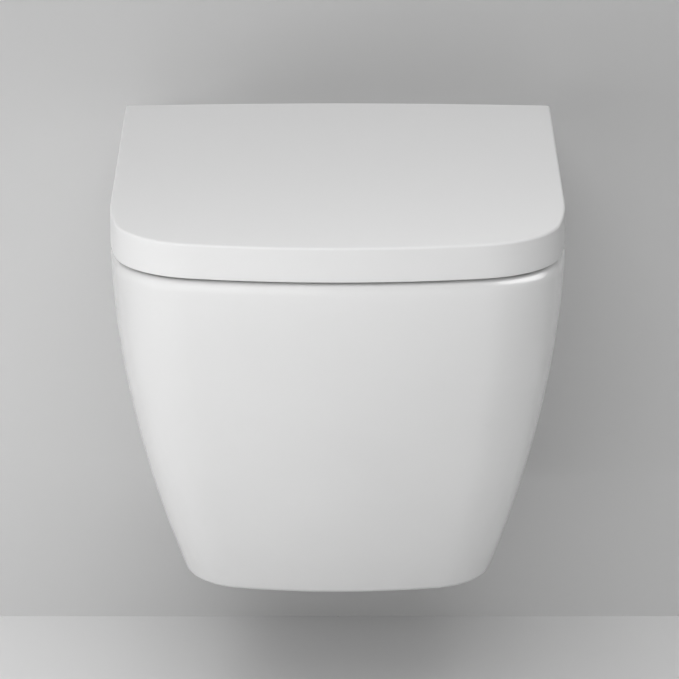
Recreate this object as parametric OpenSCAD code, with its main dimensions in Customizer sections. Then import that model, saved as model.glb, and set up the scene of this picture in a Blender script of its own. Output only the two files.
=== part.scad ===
// Wall-hung toilet pan with a wrap-over, soft-close seat and lid.
// +Z is up and the front faces -Y. Y = 0 is the finished wall, and the origin
// lies on it, midway between the two wall studs.
// Distances called "reach" are measured out from the wall.

/* [Overall form] */
// Width over the lid
lid_w = 360; // [352:1:372]
// Reach of the front of the lid
projection = 540; // [530:1:570]
// Radius of the long, nearly straight side curves
side_r = 386; // [340:2:420]
// Angle that the side curve turns through
side_a = 10.3; // [9:0.1:12]
// Radius of the front corners in plan
corner_r = 76.5; // [70:0.5:84]
// Direction at which the front corner meets the shallow front curve
corner_a = 78.5; // [76:0.5:81]

/* [Pan] */
// Height of the rim above the wall studs
rim_z = 80; // [79:0.5:84]
// Height of the whole pan
pan_h = 330; // [326:1:350]
// Width of the pan at the rim
pan_w = 360; // [350:1:362]
// How far each side draws in between the rim and the foot
side_taper = 51; // [40:1:58]
// How late the sides draw in, 1 is a straight slope
taper_power = 1.6; // [1.4:0.05:1.9]
// Reach of the front of the foot
foot_reach = 309; // [300:1:340]
// How late the front draws in, 1 is a straight slope
sweep_power = 1.5; // [1.4:0.05:1.8]
// Depth of the front curve at the foot, as a share of the rim's
foot_curve = 0.86; // [0.8:0.01:1]
// Thickness of the ceramic skin
skin_t = 11; // [9:0.5:12]
// Thickness of the rim and the deck
deck_t = 13; // [12:1:14]
// Rounding of the rim's outer edge
rim_r = 9; // [5:0.5:10]
// Rounding of the foot's edge
foot_r = 6; // [4:0.5:8]

/* [Bowl] */
// Width of the rim beside the bowl
side_rim = 38; // [35:1:45]
// Width of the rim in front of the bowl
front_rim = 40; // [36:1:50]
// Reach of the bowl's rear edge
bowl_rear = 176; // [172:1:182]
// Depth of the bowl below the rim
bowl_d = 270; // [262:1:272]
// Width of the sump
sump_w = 64; // [58:1:70]
// Reach of the sump's front edge
sump_front = 280; // [275:1:290]
// Reach of the sump's rear edge
sump_rear = 222; // [220:1:226]
// Thickness of the bowl's wall
bowl_t = 10; // [8:0.5:11]

/* [Waterway] */
// Height of the flush inlet above the wall studs
inlet_z = 35; // [34:0.5:37]
// Diameter of the flush inlet's bore
inlet_d = 55; // [54:0.5:56]
// Length of that bore
inlet_len = 50; // [45:1:60]
// Wall of the inlet
inlet_t = 9; // [7:0.5:10]
// Diameter of the flush channel behind the bowl
channel_d = 48; // [44:1:50]
// Height of the waste outlet below the wall studs
outlet_drop = 100; // [98:1:102]
// Outer diameter of the outlet spigot
outlet_d = 102; // [100:1:104]
// Wall of the outlet spigot
outlet_t = 6; // [5:0.5:7]
// Length of the outlet spigot
outlet_len = 54; // [50:1:58]
// Distance that the spigots stay back from the wall
spigot_back = 2; // [1:0.5:3]
// Radius of the trap passage
trap_r = 27; // [25:0.5:28]
// Wall of the trap
trap_t = 9; // [7:0.5:9]
// Length of the flush distributor's sleeve
sleeve_len = 78; // [70:1:84]
// Wall of that sleeve
sleeve_t = 3; // [2:0.5:4]
// Thickness of the flush distributor's flange
flange_t = 5; // [4:0.5:6]
// Width of the flange around the sleeve
flange_rim = 8; // [6:0.5:10]

/* [Wall fixing] */
// Distance between the two wall studs
stud_pitch = 180; // [180:2:190]
// Diameter of the stud holes in the brackets
stud_hole_d = 13; // [12.5:0.1:14]
// Width and height of the bracket's wall plate
bracket_w = 48; // [44:1:50]
// Thickness of that plate
bracket_t = 8; // [6:0.5:10]
// Height of the bracket's arm
arm_h = 30; // [26:1:36]
// Thickness of that arm
arm_t = 10; // [8:0.5:12]
// Reach of the lip that stiffens the bracket
lip_reach = 30; // [20:1:40]
// Thickness of that lip
lip_t = 5; // [4:0.5:6]
// Height of the wall nuts
nut_h = 10; // [8:0.5:11]
// Thickness of the wall washers
washer_t = 2.5; // [2:0.5:3]
// Reach of the side screws
side_screw_reach = 60; // [50:1:64]
// Diameter of the side screws
side_screw_d = 8; // [6:0.5:10]
// Diameter of the recess for screw head and cap
side_recess_d = 16; // [15:0.5:20]
// Depth of that recess
side_recess = 8; // [8:0.5:9]
// Height of the side screws' heads
screw_head = 4.5; // [4:0.5:5]

/* [Seat and lid] */
// Distance between the two seat fixings
fixing_pitch = 155; // [150:1:160]
// Reach of the hinge axis
hinge_reach = 93; // [91:0.5:95]
// Height of the hinge axis above the rim
hinge_up = 17.5; // [17.5:0.1:18.5]
// Distance from the hinge axis to the lid's rear face
hinge_back = 12; // [11.8:0.1:12.5]
// Height of the lid's skirt, between its lower edge and its top edge
lid_h = 27.5; // [27:0.1:29]
// Gap between the lid's skirt and the rim
lid_gap = 2; // [1.5:0.1:3]
// Thickness of the lid
lid_t = 3.5; // [3:0.1:3.6]
// Rise of the lid's crown
crown = 2; // [1:0.1:3]
// Rounding of the lid's top edge
lid_edge_r = 2; // [1:0.1:3]
// Rounding of the lid's rear corners in plan
lid_rear_r = 4; // [3:0.5:8]
// Gap between the lid's skirt and the seat ring
ring_gap = 3; // [2.5:0.1:5]
// Reach of the seat ring's rear edge
ring_rear = 106; // [106:0.5:110]
// Thickness of the seat ring
ring_h = 16; // [14:0.5:16.5]
// Height of the seat ring's underside above the rim
ring_up = 4; // [4:0.1:5]
// Width of the seat ring at its sides
ring_side = 62.5; // [58:0.5:74]
// Width of the seat ring at its front
ring_nose = 75.5; // [68:0.5:94]
// Reach of the rear of its opening
opening_rear = 188; // [180:1:200]

/* [Hinge] */
// Radius of the hinge barrels
barrel_r = 8.2; // [7.8:0.1:8.2]
// Diameter of the hinge axles
axle_d = 6; // [5:0.5:6]
// Width of each hinge block
block_w = 34.4; // [30:0.2:35]
// Length of the barrels beside the blocks
ear_w = 24; // [20:0.5:26]
// Length of the lid's outer lugs
lug_w = 19; // [15:0.5:22]
// Length of the damper barrels
damper_w = 39; // [36:0.5:40]
// Diameter of the dampers
damper_d = 12.3; // [11.5:0.1:12.4]
// Side gap between neighbouring hinge pieces
side_gap = 1.3; // [0.8:0.1:1.4]
// Diameter of the stainless posts
post_d = 8; // [7:0.2:8]
// Diameter of the cover plates under the posts
plate_d = 38; // [34:1:40]
// Thickness of those plates
plate_t = 2; // [1.5:0.1:2.2]
// Thickness of the gaskets under them
gasket_t = 1; // [0.8:0.1:1.1]
// Travel of the release buttons
button_travel = 2; // [1.5:0.1:2]
// Diameter of the release buttons
button_d = 6; // [5:0.2:6.4]
// Diameter of the fixing holes in the deck
fixing_hole_d = 14; // [12:0.5:15]
// Diameter of the fixing bolts
fixing_bolt_d = 6; // [5:0.5:6.5]

/* [Clearances] */
// Radial clearance of a turning or sliding fit
fit = 0.05; // [0.03:0.01:0.08]
// Radial clearance of a pressed or clamped fit
snug = 0.02; // [0.01:0.01:0.04]
// Gap between pieces that touch only when they are loaded
touch = 0.3; // [0.2:0.05:0.4]

/* [Hidden] */
$fn = 64;
SIDES = [-1, 1];
WHITE = [0.95, 0.95, 0.94];
GLAZE = [0.97, 0.97, 0.96];
STEEL = [0.72, 0.73, 0.75];
GREY = [0.55, 0.56, 0.58];
DARK = [0.25, 0.25, 0.27];

// Plan curve of the front, from the front centre to the right side.
side_c = [lid_w / 2 - side_r, 0];
corner_c = side_c + (side_r - corner_r) * [cos(side_a), sin(side_a)];
front_r = corner_r + corner_c[0] / cos(corner_a);
front_c = [0, corner_c[1] - corner_c[0] * tan(corner_a)];
nose_len = front_c[1] + front_r;
nose = concat(
    arc(front_c, front_r, 90, corner_a, 5),
    arc(corner_c, corner_r, corner_a, side_a, 9),
    arc(side_c, side_r, side_a, 0, 4),
    [[lid_w / 2, 0]]);

foot_z = rim_z - pan_h;
deck_z = rim_z - deck_t;
lid_rear = hinge_reach - hinge_back;
hinge_z = rim_z + hinge_up;
lid_low = rim_z + lid_gap;
lid_top = lid_low + lid_h;
lid_under = lid_top - lid_t;
ring_low = rim_z + ring_up;
ring_top = ring_low + ring_h;
ring_w = lid_w - 2 * (lid_t + ring_gap);
ring_front = projection - lid_t - ring_gap;
plate_z = rim_z + gasket_t;
post_low = plate_z + plate_t;
post_top = hinge_z - axle_d / 2 - 2;
outlet_z = -outlet_drop;
outlet_bore_r = outlet_d / 2 - outlet_t;
fixing_x = fixing_pitch / 2;
bowl_w = pan_w - 2 * side_rim;
bowl_front = projection - front_rim;
opening_w = ring_w - 2 * ring_side;
opening_front = ring_front - ring_nose;
stud_x = stud_pitch / 2;
block_in = fixing_x - block_w / 2;
block_out = fixing_x + block_w / 2;
ear_in = block_out + side_gap;
ear_out = ear_in + ear_w;
lug_in = ear_out + side_gap;
lug_out = lug_in + lug_w;
damper_out = block_in - side_gap;
damper_in = damper_out - damper_w;
damper_floor = 3.5;
damper_len = damper_w - damper_floor - 1;
foot_back = 6.5;
foot_front = 8;
latch_t = 1.5;
latch_z = post_low + 4.6;
latch_groove_r = 2.8;
side_face = half_w(rim_z / pan_h);
lid_buffer_x = lid_w / 2 - 85;
lid_buffer_reach = projection - 62;
seat_buffer_x = lid_w / 2 - 32;
seat_buffer_front = projection - 110;
seat_buffer_rear = bowl_rear + 4;
seat_buffer_r = 9;
buffer_peg_r = 4;
buffer_peg = 6;

// Points along an arc, without its last one.
function arc(c, r, a0, a1, n) =
    [for (i = [0:n - 1]) let (a = a0 + (a1 - a0) * i / n) c + r * [cos(a), sin(a)]];

// Closed plan outline, counterclockwise from the front centre: half width w,
// front at reach f, rear at reach b, curve depth k, rear corners of radius rr.
function outline(w, f, b, k = 1, rr = 0) =
    let (
        front = [for (p = nose) [2 * w * p[0] / lid_w, k * (nose_len - p[1]) - f]],
        corner = rr == 0 ? [[w, -b]]
            : [for (a = [0:30:90]) [w - rr + rr * cos(a), rr * sin(a) - rr - b]],
        middle = [for (i = [3:-1:1]) [(w - rr) * i / 4, -b]],
        half = concat(front, corner, middle),
        n = len(half))
    concat(half, [[0, -b]], [for (i = [n - 1:-1:1]) [-half[i][0], half[i][1]]]);

// Egg-shaped outline: half width w, from reach b to reach f.
function egg(w, f, b, power, n) =
    [for (i = [0:n - 1])
        let (a = 360 * i / n - 90, h = (f - b) / 2, r = polar(a, w, h, power))
        [r * cos(a), r * sin(a) - (f + b) / 2]];

// Radius of a rounded rectangle-like curve in the direction a.
function polar(a, w, h, power) =
    1 / pow(pow(abs(cos(a)) / w, power) + pow(abs(sin(a)) / h, power), 1 / power);

// An outline lifted to the height z.
function at(points, z) = [for (p = points) [p[0], p[1], z]];

// Closed solid through sections with equal numbers of points. With loop, the
// last section joins the first, which makes a ring.
module skin(sections, loop = false) {
    n = len(sections[0]);
    m = len(sections);
    sides = [for (s = [0:m - (loop ? 1 : 2)], i = [0:n - 1])
        let (a = s * n, d = ((s + 1) % m) * n, j = (i + 1) % n)
        each [[a + i, d + i, d + j], [a + i, d + j, a + j]]];
    caps = [for (i = [1:n - 2])
        each [[0, i, i + 1], [(m - 1) * n, (m - 1) * n + i + 1, (m - 1) * n + i]]];
    polyhedron([for (s = sections) each s], loop ? sides : concat(sides, caps));
}

// A round bar along X, from x0 to x1, through reach b and height z.
module bar_x(x0, x1, b, z, r) {
    translate([min(x0, x1), -b, z]) rotate([0, 90, 0]) cylinder(h = abs(x1 - x0), r = r);
}

// A round bar away from the wall, from reach b0 to b1.
module bar_y(b0, b1, x, z, r) {
    translate([x, -b0, z]) rotate([90, 0, 0]) cylinder(h = b1 - b0, r = r);
}

// A round bar along Z.
module bar_z(z0, z1, x, b, r) {
    translate([x, -b, z0]) cylinder(h = z1 - z0, r = r);
}

// A box from x0 to x1, from reach b0 to b1 and from z0 to z1.
module block(x0, x1, b0, b1, z0, z1) {
    translate([min(x0, x1), -b1, z0]) cube([abs(x1 - x0), b1 - b0, z1 - z0]);
}

// ---- Pan ----

function half_w(u) = pan_w / 2 - side_taper * pow(u, taper_power);
function reach(u) = projection - 2 - (projection - 2 - foot_reach) * pow(u, sweep_power);
function curve(u) = 1 - (1 - foot_curve) * u;

// Plan section of the pan at the height z, drawn in by inset.
function pan_section(z, inset, b) =
    let (u = max(0, (rim_z - z) / pan_h))
    at(outline(half_w(u) - inset, reach(u) - inset, b, curve(u)), z);

module pan_outside() {
    skin(concat(
        [for (a = [90:-30:0])
            pan_section(foot_z + foot_r * (1 - sin(a)), foot_r * (1 - cos(a)), 0)],
        [for (u = [0.9:-0.1:0.1]) pan_section(rim_z - u * pan_h, 0, 0)],
        [for (a = [0:30:90])
            pan_section(rim_z - rim_r * (1 - sin(a)), rim_r * (1 - cos(a)), 0)]));
}

module pan_hollow() {
    low = foot_z + skin_t;
    skin([for (i = [0:6]) pan_section(low + (deck_z - low) * i / 6, skin_t, -5)]);
}

// How far the bowl has opened between its floor (0) and its rim (1).
function bowl_share(t) = pow(1 - pow(t, 1.5), 1.2);

function bowl_section(t, grow) =
    let (
        s = bowl_share(t),
        w = sump_w / 2 + (bowl_w - sump_w) / 2 * s,
        f = sump_front + (bowl_front - sump_front) * s,
        b = sump_rear + (bowl_rear - sump_rear) * s)
    egg(w + grow, f + grow, b - grow, 2.4, 40);

module bowl_form(grow, top) {
    skin([for (t = [1, 0.93, 0.85, 0.72, 0.58, 0.42, 0.24, 0.08, 0])
        at(bowl_section(t, grow), t == 0 ? top : rim_z - t * (bowl_d + grow))]);
}

// Centre line of the trap as reach, height above the outlet and radius.
trap_path = [
    [262, -50, trap_r], [254, -82, trap_r], [238, -100, trap_r],
    [214, -108, trap_r], [190, -104, trap_r], [170, -86, trap_r],
    [158, -60, trap_r], [146, -36, trap_r + 2], [126, -16, trap_r + 6],
    [98, -3, trap_r + 11], [72, 0, outlet_bore_r - 3], [56, 0, outlet_bore_r - 2]];

function trap_turn(i) =
    let (
        p = trap_path[max(0, i - 1)],
        q = trap_path[min(len(trap_path) - 1, i + 1)])
    atan2(q[1] - p[1], q[0] - p[0]);

module trap_form(grow) {
    skin([for (i = [0:len(trap_path) - 1])
        let (p = trap_path[i], a = trap_turn(i), r = p[2] + grow)
        [for (j = [0:17])
            let (c = 20 * j)
            [r * cos(c), sin(a) * r * sin(c) - p[0], outlet_z + p[1] + cos(a) * r * sin(c)]]]);
}

// Skin, rim and deck, with the bosses under the seat fixings and the pads
// behind the side screws. The pan is one fired piece: its bowl, trap and flush
// channel are the parts that it is cast from, and meet it face to face.
module pan() {
    pad_r = side_recess_d / 2 + 10;
    color(GLAZE) difference() {
        union() {
            difference() {
                pan_outside();
                pan_hollow();
            }
            for (s = SIDES) {
                bar_z(rim_z - 40, deck_z + 2, s * fixing_x, hinge_reach,
                    fixing_hole_d / 2 + 9);
                bar_x(s * (side_face - skin_t + 2), s * (side_face - skin_t - 12),
                    side_screw_reach, 0, pad_r);
            }
        }
        bowl_form(0, rim_z + 1);
        for (s = SIDES) {
            bar_z(rim_z - 41, rim_z + 1, s * fixing_x, hinge_reach, fixing_hole_d / 2);
            bar_x(s * (side_face - 40), s * (side_face + 5), side_screw_reach, 0,
                side_screw_d / 2 + 0.5);
            bar_x(s * (side_face - side_recess), s * (side_face + 5), side_screw_reach,
                0, side_recess_d / 2);
        }
    }
}

module bowl() {
    color(GLAZE) difference() {
        bowl_form(bowl_t, deck_z);
        bowl_form(0, rim_z + 1);
        trap_form(0);
        flush_bores();
    }
}

module trap() {
    color(GLAZE) difference() {
        union() {
            trap_form(trap_t);
            bar_y(spigot_back, outlet_len + spigot_back, 0, outlet_z, outlet_d / 2);
        }
        trap_form(0);
        bar_y(-1, outlet_len + spigot_back, 0, outlet_z, outlet_bore_r);
        bowl_form(bowl_t, deck_z);
        block(-pan_w, pan_w, -1, projection, foot_z - 1, foot_z + skin_t);
    }
}

module flush_bores() {
    bar_y(-1, inlet_len + spigot_back, 0, inlet_z, inlet_d / 2);
    bar_y(inlet_len, bowl_rear + 20, 0, inlet_z, channel_d / 2);
}

module flush_channel() {
    color(GLAZE) difference() {
        bar_y(spigot_back, bowl_rear, 0, inlet_z, inlet_d / 2 + inlet_t);
        flush_bores();
        bowl_form(bowl_t, deck_z);
        block(-pan_w, pan_w, -1, projection, deck_z, rim_z);
    }
}

// Plastic insert that spreads the flush sideways around the bowl.
module flush_distributor() {
    face = bowl_rear + 12;
    tube_r = channel_d / 2 - touch;
    color(GREY) difference() {
        union() {
            bar_y(face - sleeve_len, face + flange_t / 2, 0, inlet_z, tube_r);
            bar_y(face, face + flange_t, 0, inlet_z, tube_r + flange_rim);
        }
        bar_y(face - sleeve_len - 1, face, 0, inlet_z, tube_r - sleeve_t);
        block(-channel_d, channel_d, face - 7, face - 1, inlet_z - channel_d / 6,
            inlet_z + channel_d / 4);
    }
}

// ---- Wall fixing ----

module wall_bracket(s) {
    half = bracket_w / 2;
    arm_out = stud_x + half;
    arm_in = arm_out - arm_t;
    color(STEEL) difference() {
        union() {
            block(s * (stud_x - half), s * arm_out, 0, bracket_t, -half, half);
            block(s * arm_in, s * arm_out, 0, side_screw_reach + arm_h / 2 + 1,
                -arm_h / 2, arm_h / 2);
            block(s * (stud_x - half), s * arm_out, 0, lip_reach, -half, lip_t - half);
        }
        bar_y(-1, bracket_t + 1, s * stud_x, 0, stud_hole_d / 2);
        bar_x(s * (arm_in - 1), s * (arm_out + 1), side_screw_reach, 0,
            side_screw_d / 2 + fit);
    }
}

module wall_washer(s) {
    color(STEEL) difference() {
        bar_y(bracket_t, bracket_t + washer_t, s * stud_x, 0, bracket_w / 4);
        bar_y(bracket_t - 1, bracket_t + washer_t + 1, s * stud_x, 0, stud_hole_d / 2);
    }
}

module wall_nut(s) {
    color(STEEL) difference() {
        translate([s * stud_x, -bracket_t - washer_t, 0]) rotate([90, 0, 0])
            cylinder(h = nut_h, r = 10.9, $fn = 6);
        bar_y(bracket_t, bracket_t + washer_t + nut_h + 1, s * stud_x, 0,
            stud_hole_d / 2 - 0.4);
    }
}

module side_screw(s) {
    seat = side_face - side_recess;
    color(STEEL) difference() {
        union() {
            bar_x(s * (stud_x + bracket_w / 8), s * (seat + 1), side_screw_reach, 0,
                side_screw_d / 2);
            bar_x(s * seat, s * (seat + screw_head), side_screw_reach, 0,
                side_recess_d / 2 - 1.5);
        }
        translate([s * (seat + 2), -side_screw_reach, 0]) rotate([0, s * 90, 0])
            cylinder(h = 5, r = 3, $fn = 6);
    }
}

module side_cap(s) {
    seat = side_face - side_recess + screw_head + touch;
    color(GLAZE) bar_x(s * seat, s * (side_face - 0.2), side_screw_reach, 0,
        side_recess_d / 2 - 0.1);
}

// ---- Seat fixing ----

module fixing_bolt(s) {
    color(STEEL) bar_z(rim_z - 39, post_low - 0.5, s * fixing_x, hinge_reach,
        fixing_bolt_d / 2);
}

module expansion_plug(s) {
    color(DARK) difference() {
        bar_z(rim_z - 27, rim_z - touch, s * fixing_x, hinge_reach,
            fixing_hole_d / 2 - 0.1);
        bar_z(rim_z - 28, rim_z + 1, s * fixing_x, hinge_reach,
            fixing_bolt_d / 2 + snug);
    }
}

module cone_nut(s) {
    color(STEEL) difference() {
        translate([s * fixing_x, -hinge_reach, rim_z - 37])
            cylinder(h = 10 - snug, r1 = fixing_hole_d / 2 - 0.2, r2 = fixing_hole_d / 2 - 2);
        bar_z(rim_z - 38, rim_z - 26, s * fixing_x, hinge_reach, fixing_bolt_d / 2 + snug);
    }
}

module plate_gasket(s) {
    color(DARK) difference() {
        bar_z(rim_z, plate_z, s * fixing_x, hinge_reach, plate_d / 2 + 0.5);
        bar_z(rim_z - 1, plate_z + 1, s * fixing_x, hinge_reach, fixing_bolt_d / 2 + snug);
    }
}

// Cover plate and post, with the groove that the latch catches.
module hinge_plate(s) {
    color(STEEL) difference() {
        translate([s * fixing_x, -hinge_reach, 0]) rotate_extrude()
            polygon([
                [0, plate_z], [plate_d / 2, plate_z],
                [plate_d / 2, post_low - 0.8], [plate_d / 2 - 0.8, post_low],
                [post_d / 2, post_low], [post_d / 2, latch_z - touch],
                [latch_groove_r, latch_z - touch],
                [latch_groove_r, latch_z + latch_t + touch],
                [post_d / 2, latch_z + latch_t + touch],
                [post_d / 2, post_top - 1], [post_d / 2 - 1, post_top], [0, post_top]]);
        bar_z(plate_z - 1, post_low - 0.5, s * fixing_x, hinge_reach,
            fixing_bolt_d / 2 + snug);
    }
}

// ---- Hinges ----

module hinge_block(s) {
    low = post_low + 0.2;
    color(WHITE) difference() {
        union() {
            bar_x(s * block_in, s * block_out, hinge_reach, hinge_z, barrel_r);
            block(s * block_in, s * block_out, hinge_reach - foot_back,
                hinge_reach + foot_front, low, hinge_z);
        }
        bar_x(s * (block_in - 1), s * (block_out + 1), hinge_reach, hinge_z,
            axle_d / 2 + snug);
        bar_z(low - 1, post_top + 0.5, s * fixing_x, hinge_reach, post_d / 2 + fit);
        block(s * (fixing_x - 7.2), s * (fixing_x + 7.2), hinge_reach - foot_back - 1,
            hinge_reach + foot_front + 1, latch_z - 0.1, latch_z + latch_t + 0.1);
        bar_y(hinge_reach + foot_front - 2.8, hinge_reach + foot_front + 1, s * fixing_x,
            latch_z + latch_t / 2, button_d / 2 + fit);
    }
}

module hinge_axle(s) {
    color(STEEL) bar_x(s * (damper_out - damper_len + 2), s * (lug_out - 2), hinge_reach,
        hinge_z, axle_d / 2);
}

// Push button with the latch plate that holds the post.
module release_button(s) {
    rest = hinge_reach + foot_front - 2.6 + button_travel;
    open_r = post_d / 2 + 0.1;
    rear = hinge_reach - latch_groove_r - 0.2;
    color(GREY) difference() {
        union() {
            block(s * (fixing_x - 7), s * (fixing_x + 7), rear - 1.2, rest + 1,
                latch_z, latch_z + latch_t);
            bar_y(rest, rest + 4, s * fixing_x, latch_z + latch_t / 2, button_d / 2);
        }
        bar_z(latch_z - 1, latch_z + latch_t + 1, s * fixing_x, rear + open_r, open_r);
        block(s * (fixing_x - open_r), s * (fixing_x + open_r), rear + open_r,
            rear + open_r + button_travel, latch_z - 1, latch_z + latch_t + 1);
        bar_z(latch_z - 1, latch_z + latch_t + 1, s * fixing_x,
            rear + open_r + button_travel, open_r);
    }
}

module damper(s) {
    x0 = damper_out - 0.5 - damper_len;
    color(DARK) difference() {
        bar_x(s * x0, s * (damper_out - 0.5), hinge_reach, hinge_z, damper_d / 2);
        bar_x(s * (x0 - 1), s * damper_out, hinge_reach, hinge_z, axle_d / 2 + fit);
    }
}

// ---- Seat ring ----

// One section of the seat ring: its outer edge drawn in, or its opening grown.
function ring_outer(inset, z) =
    at(outline(ring_w / 2 - inset, ring_front - inset, ring_rear + inset, 1, 12), z);

function ring_inner(grow, z) =
    let (
        h = (opening_front - opening_rear) / 2,
        mid = -(opening_front + opening_rear) / 2)
    [for (p = ring_outer(0, z))
        let (a = atan2(p[1] - mid, p[0]), r = polar(a, opening_w / 2 + grow, h + grow, 2.3))
        [r * cos(a), mid + r * sin(a), z]];

module ring_body() {
    skin([
        ring_inner(3, ring_low), ring_outer(1.5, ring_low),
        ring_outer(0, ring_low + 2), ring_outer(0, ring_top - 5),
        ring_outer(1.5, ring_top - 1.5), ring_outer(5, ring_top),
        ring_inner(14, ring_top - 0.5), ring_inner(5, ring_top - 3),
        ring_inner(0, ring_top - 8), ring_inner(0, ring_low + 3)], true);
}

module seat_ring() {
    // Low enough to be stiff, high enough for the lid's rear wall to swing past.
    arm_low = hinge_z - barrel_r / 2;
    arm_front = ring_rear + 6;
    color(WHITE) difference() {
        union() {
            ring_body();
            for (x = [[-ear_out, -ear_in], [-damper_out, -damper_in], [ear_in, ear_out]]) {
                bar_x(x[0], x[1], hinge_reach, hinge_z, barrel_r);
                block(x[0], x[1], hinge_reach, arm_front, arm_low, ring_top - 0.6);
            }
        }
        for (s = SIDES)
            bar_x(s * (ear_in - 1), s * (ear_out + 1), hinge_reach, hinge_z,
                axle_d / 2 + fit);
        bar_x(-damper_out - 1, -damper_in - damper_floor, hinge_reach, hinge_z,
            damper_d / 2 + snug);
        for (s = SIDES, b = [seat_buffer_front, seat_buffer_rear])
            bar_z(ring_low - 1, ring_low + buffer_peg + touch, s * seat_buffer_x, b,
                buffer_peg_r + snug);
    }
}

module seat_buffer(s, b) {
    color(GREY) {
        bar_z(rim_z + touch, ring_low, s * seat_buffer_x, b, seat_buffer_r);
        bar_z(ring_low - 1, ring_low + buffer_peg, s * seat_buffer_x, b, buffer_peg_r);
    }
}

// ---- Lid ----

// Rise of the crown: none at the sides, and it runs out at the front edge.
function rise(p) =
    crown * (1 - pow(2 * p[0] / lid_w, 2))
    * (1 - pow(max(0, (-p[1] - lid_rear) / (projection - lid_rear)), 3));

// A ring of the lid, drawn in by inset, shrunk to the share k about its middle.
function lid_section(inset, z, k = 1) =
    let (
        mid = -(lid_rear + projection) / 2,
        ring = outline(lid_w / 2 - inset, projection - inset, lid_rear + inset, 1,
            max(1, lid_rear_r - inset)))
    [for (p = ring)
        let (q = [k * p[0], mid + k * (p[1] - mid)])
        [q[0], q[1], z == lid_low ? z : z + rise(q)]];

module lid_shell() {
    skin(concat(
        [for (k = [0.05, 0.35, 0.65, 0.85, 1]) lid_section(lid_t, lid_under, k)],
        [lid_section(lid_t, lid_low), lid_section(0, lid_low)],
        [for (a = [0:30:90])
            lid_section(lid_edge_r * (1 - cos(a)), lid_top - lid_edge_r * (1 - sin(a)))],
        [for (k = [0.85, 0.65, 0.35, 0.05]) lid_section(lid_edge_r, lid_top, k)]));
}

module lid() {
    boss_z = ring_top + 5;
    color(WHITE) difference() {
        union() {
            difference() {
                lid_shell();
                // The rear wall ends in a curve about the hinge axis.
                difference() {
                    block(-lid_w, lid_w, lid_rear - 1, hinge_reach, lid_low - 1, hinge_z);
                    bar_x(-lid_w, lid_w, hinge_reach, hinge_z, hinge_back);
                }
                // Notches let the rear wall swing past the hinge blocks.
                for (s = SIDES)
                    block(s * (block_in - 1), s * (block_out + 1), lid_rear - 1,
                        hinge_reach - 2, lid_low - 1, lid_under + 0.5);
            }
            for (x = [[-lug_out, -lug_in], [damper_in, damper_out], [lug_in, lug_out]]) {
                bar_x(x[0], x[1], hinge_reach, hinge_z, barrel_r);
                block(x[0], x[1], hinge_reach - barrel_r, hinge_reach + barrel_r,
                    hinge_z, lid_under + 3);
            }
            for (s = SIDES)
                bar_z(boss_z, lid_under + 1.5, s * lid_buffer_x, lid_buffer_reach, 9);
        }
        for (s = SIDES) {
            bar_x(s * (lug_in - 1), s * (lug_out - 1), hinge_reach, hinge_z,
                axle_d / 2 + fit);
            bar_z(boss_z - 1, boss_z + 2.5, s * lid_buffer_x, lid_buffer_reach, 3 + snug);
        }
        bar_x(damper_in + damper_floor, damper_out + 1, hinge_reach, hinge_z,
            damper_d / 2 + snug);
    }
}

module lid_buffer(s) {
    boss_z = ring_top + 5;
    color(GREY) {
        bar_z(ring_top + touch, boss_z, s * lid_buffer_x, lid_buffer_reach, 7);
        bar_z(boss_z - 1, boss_z + 2.3, s * lid_buffer_x, lid_buffer_reach, 3);
    }
}

pan();
bowl();
trap();
flush_channel();
flush_distributor();
wall_bracket(-1);  // wall_bracket_left
wall_bracket(1);  // wall_bracket_right
wall_washer(-1);  // wall_washer_left
wall_washer(1);  // wall_washer_right
wall_nut(-1);  // wall_nut_left
wall_nut(1);  // wall_nut_right
side_screw(-1);  // side_screw_left
side_screw(1);  // side_screw_right
side_cap(-1);  // side_cap_left
side_cap(1);  // side_cap_right
fixing_bolt(-1);  // fixing_bolt_left
fixing_bolt(1);  // fixing_bolt_right
expansion_plug(-1);  // expansion_plug_left
expansion_plug(1);  // expansion_plug_right
cone_nut(-1);  // cone_nut_left
cone_nut(1);  // cone_nut_right
plate_gasket(-1);  // plate_gasket_left
plate_gasket(1);  // plate_gasket_right
hinge_plate(-1);  // hinge_plate_left
hinge_plate(1);  // hinge_plate_right
hinge_block(-1);  // hinge_block_left
hinge_block(1);  // hinge_block_right
hinge_axle(-1);  // hinge_axle_left
hinge_axle(1);  // hinge_axle_right
release_button(-1);  // release_button_left
release_button(1);  // release_button_right
seat_ring();
damper(-1);  // seat_damper
seat_buffer(-1, seat_buffer_front);  // seat_buffer_front_left
seat_buffer(1, seat_buffer_front);  // seat_buffer_front_right
seat_buffer(-1, seat_buffer_rear);  // seat_buffer_rear_left
seat_buffer(1, seat_buffer_rear);  // seat_buffer_rear_right
lid();
damper(1);  // lid_damper
lid_buffer(-1);  // lid_buffer_left
lid_buffer(1);  // lid_buffer_right
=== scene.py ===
# %% [markdown]
# # A wall-hung toilet with a wrap-over seat and lid
#
# The real object is one white ceramic pan that hangs on two studs in the wall.
# A seat ring and a lid of glossy moulded plastic turn together on two steel
# posts behind the bowl, and a low skirt on the lid hides both of them.
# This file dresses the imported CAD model, part by part. Each surface is worked
# out from the same measures as the CAD, but finely enough to look smooth.

# %% Load the fixed frame
import math

import bpy
import numpy as np
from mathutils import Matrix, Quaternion, Vector


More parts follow.
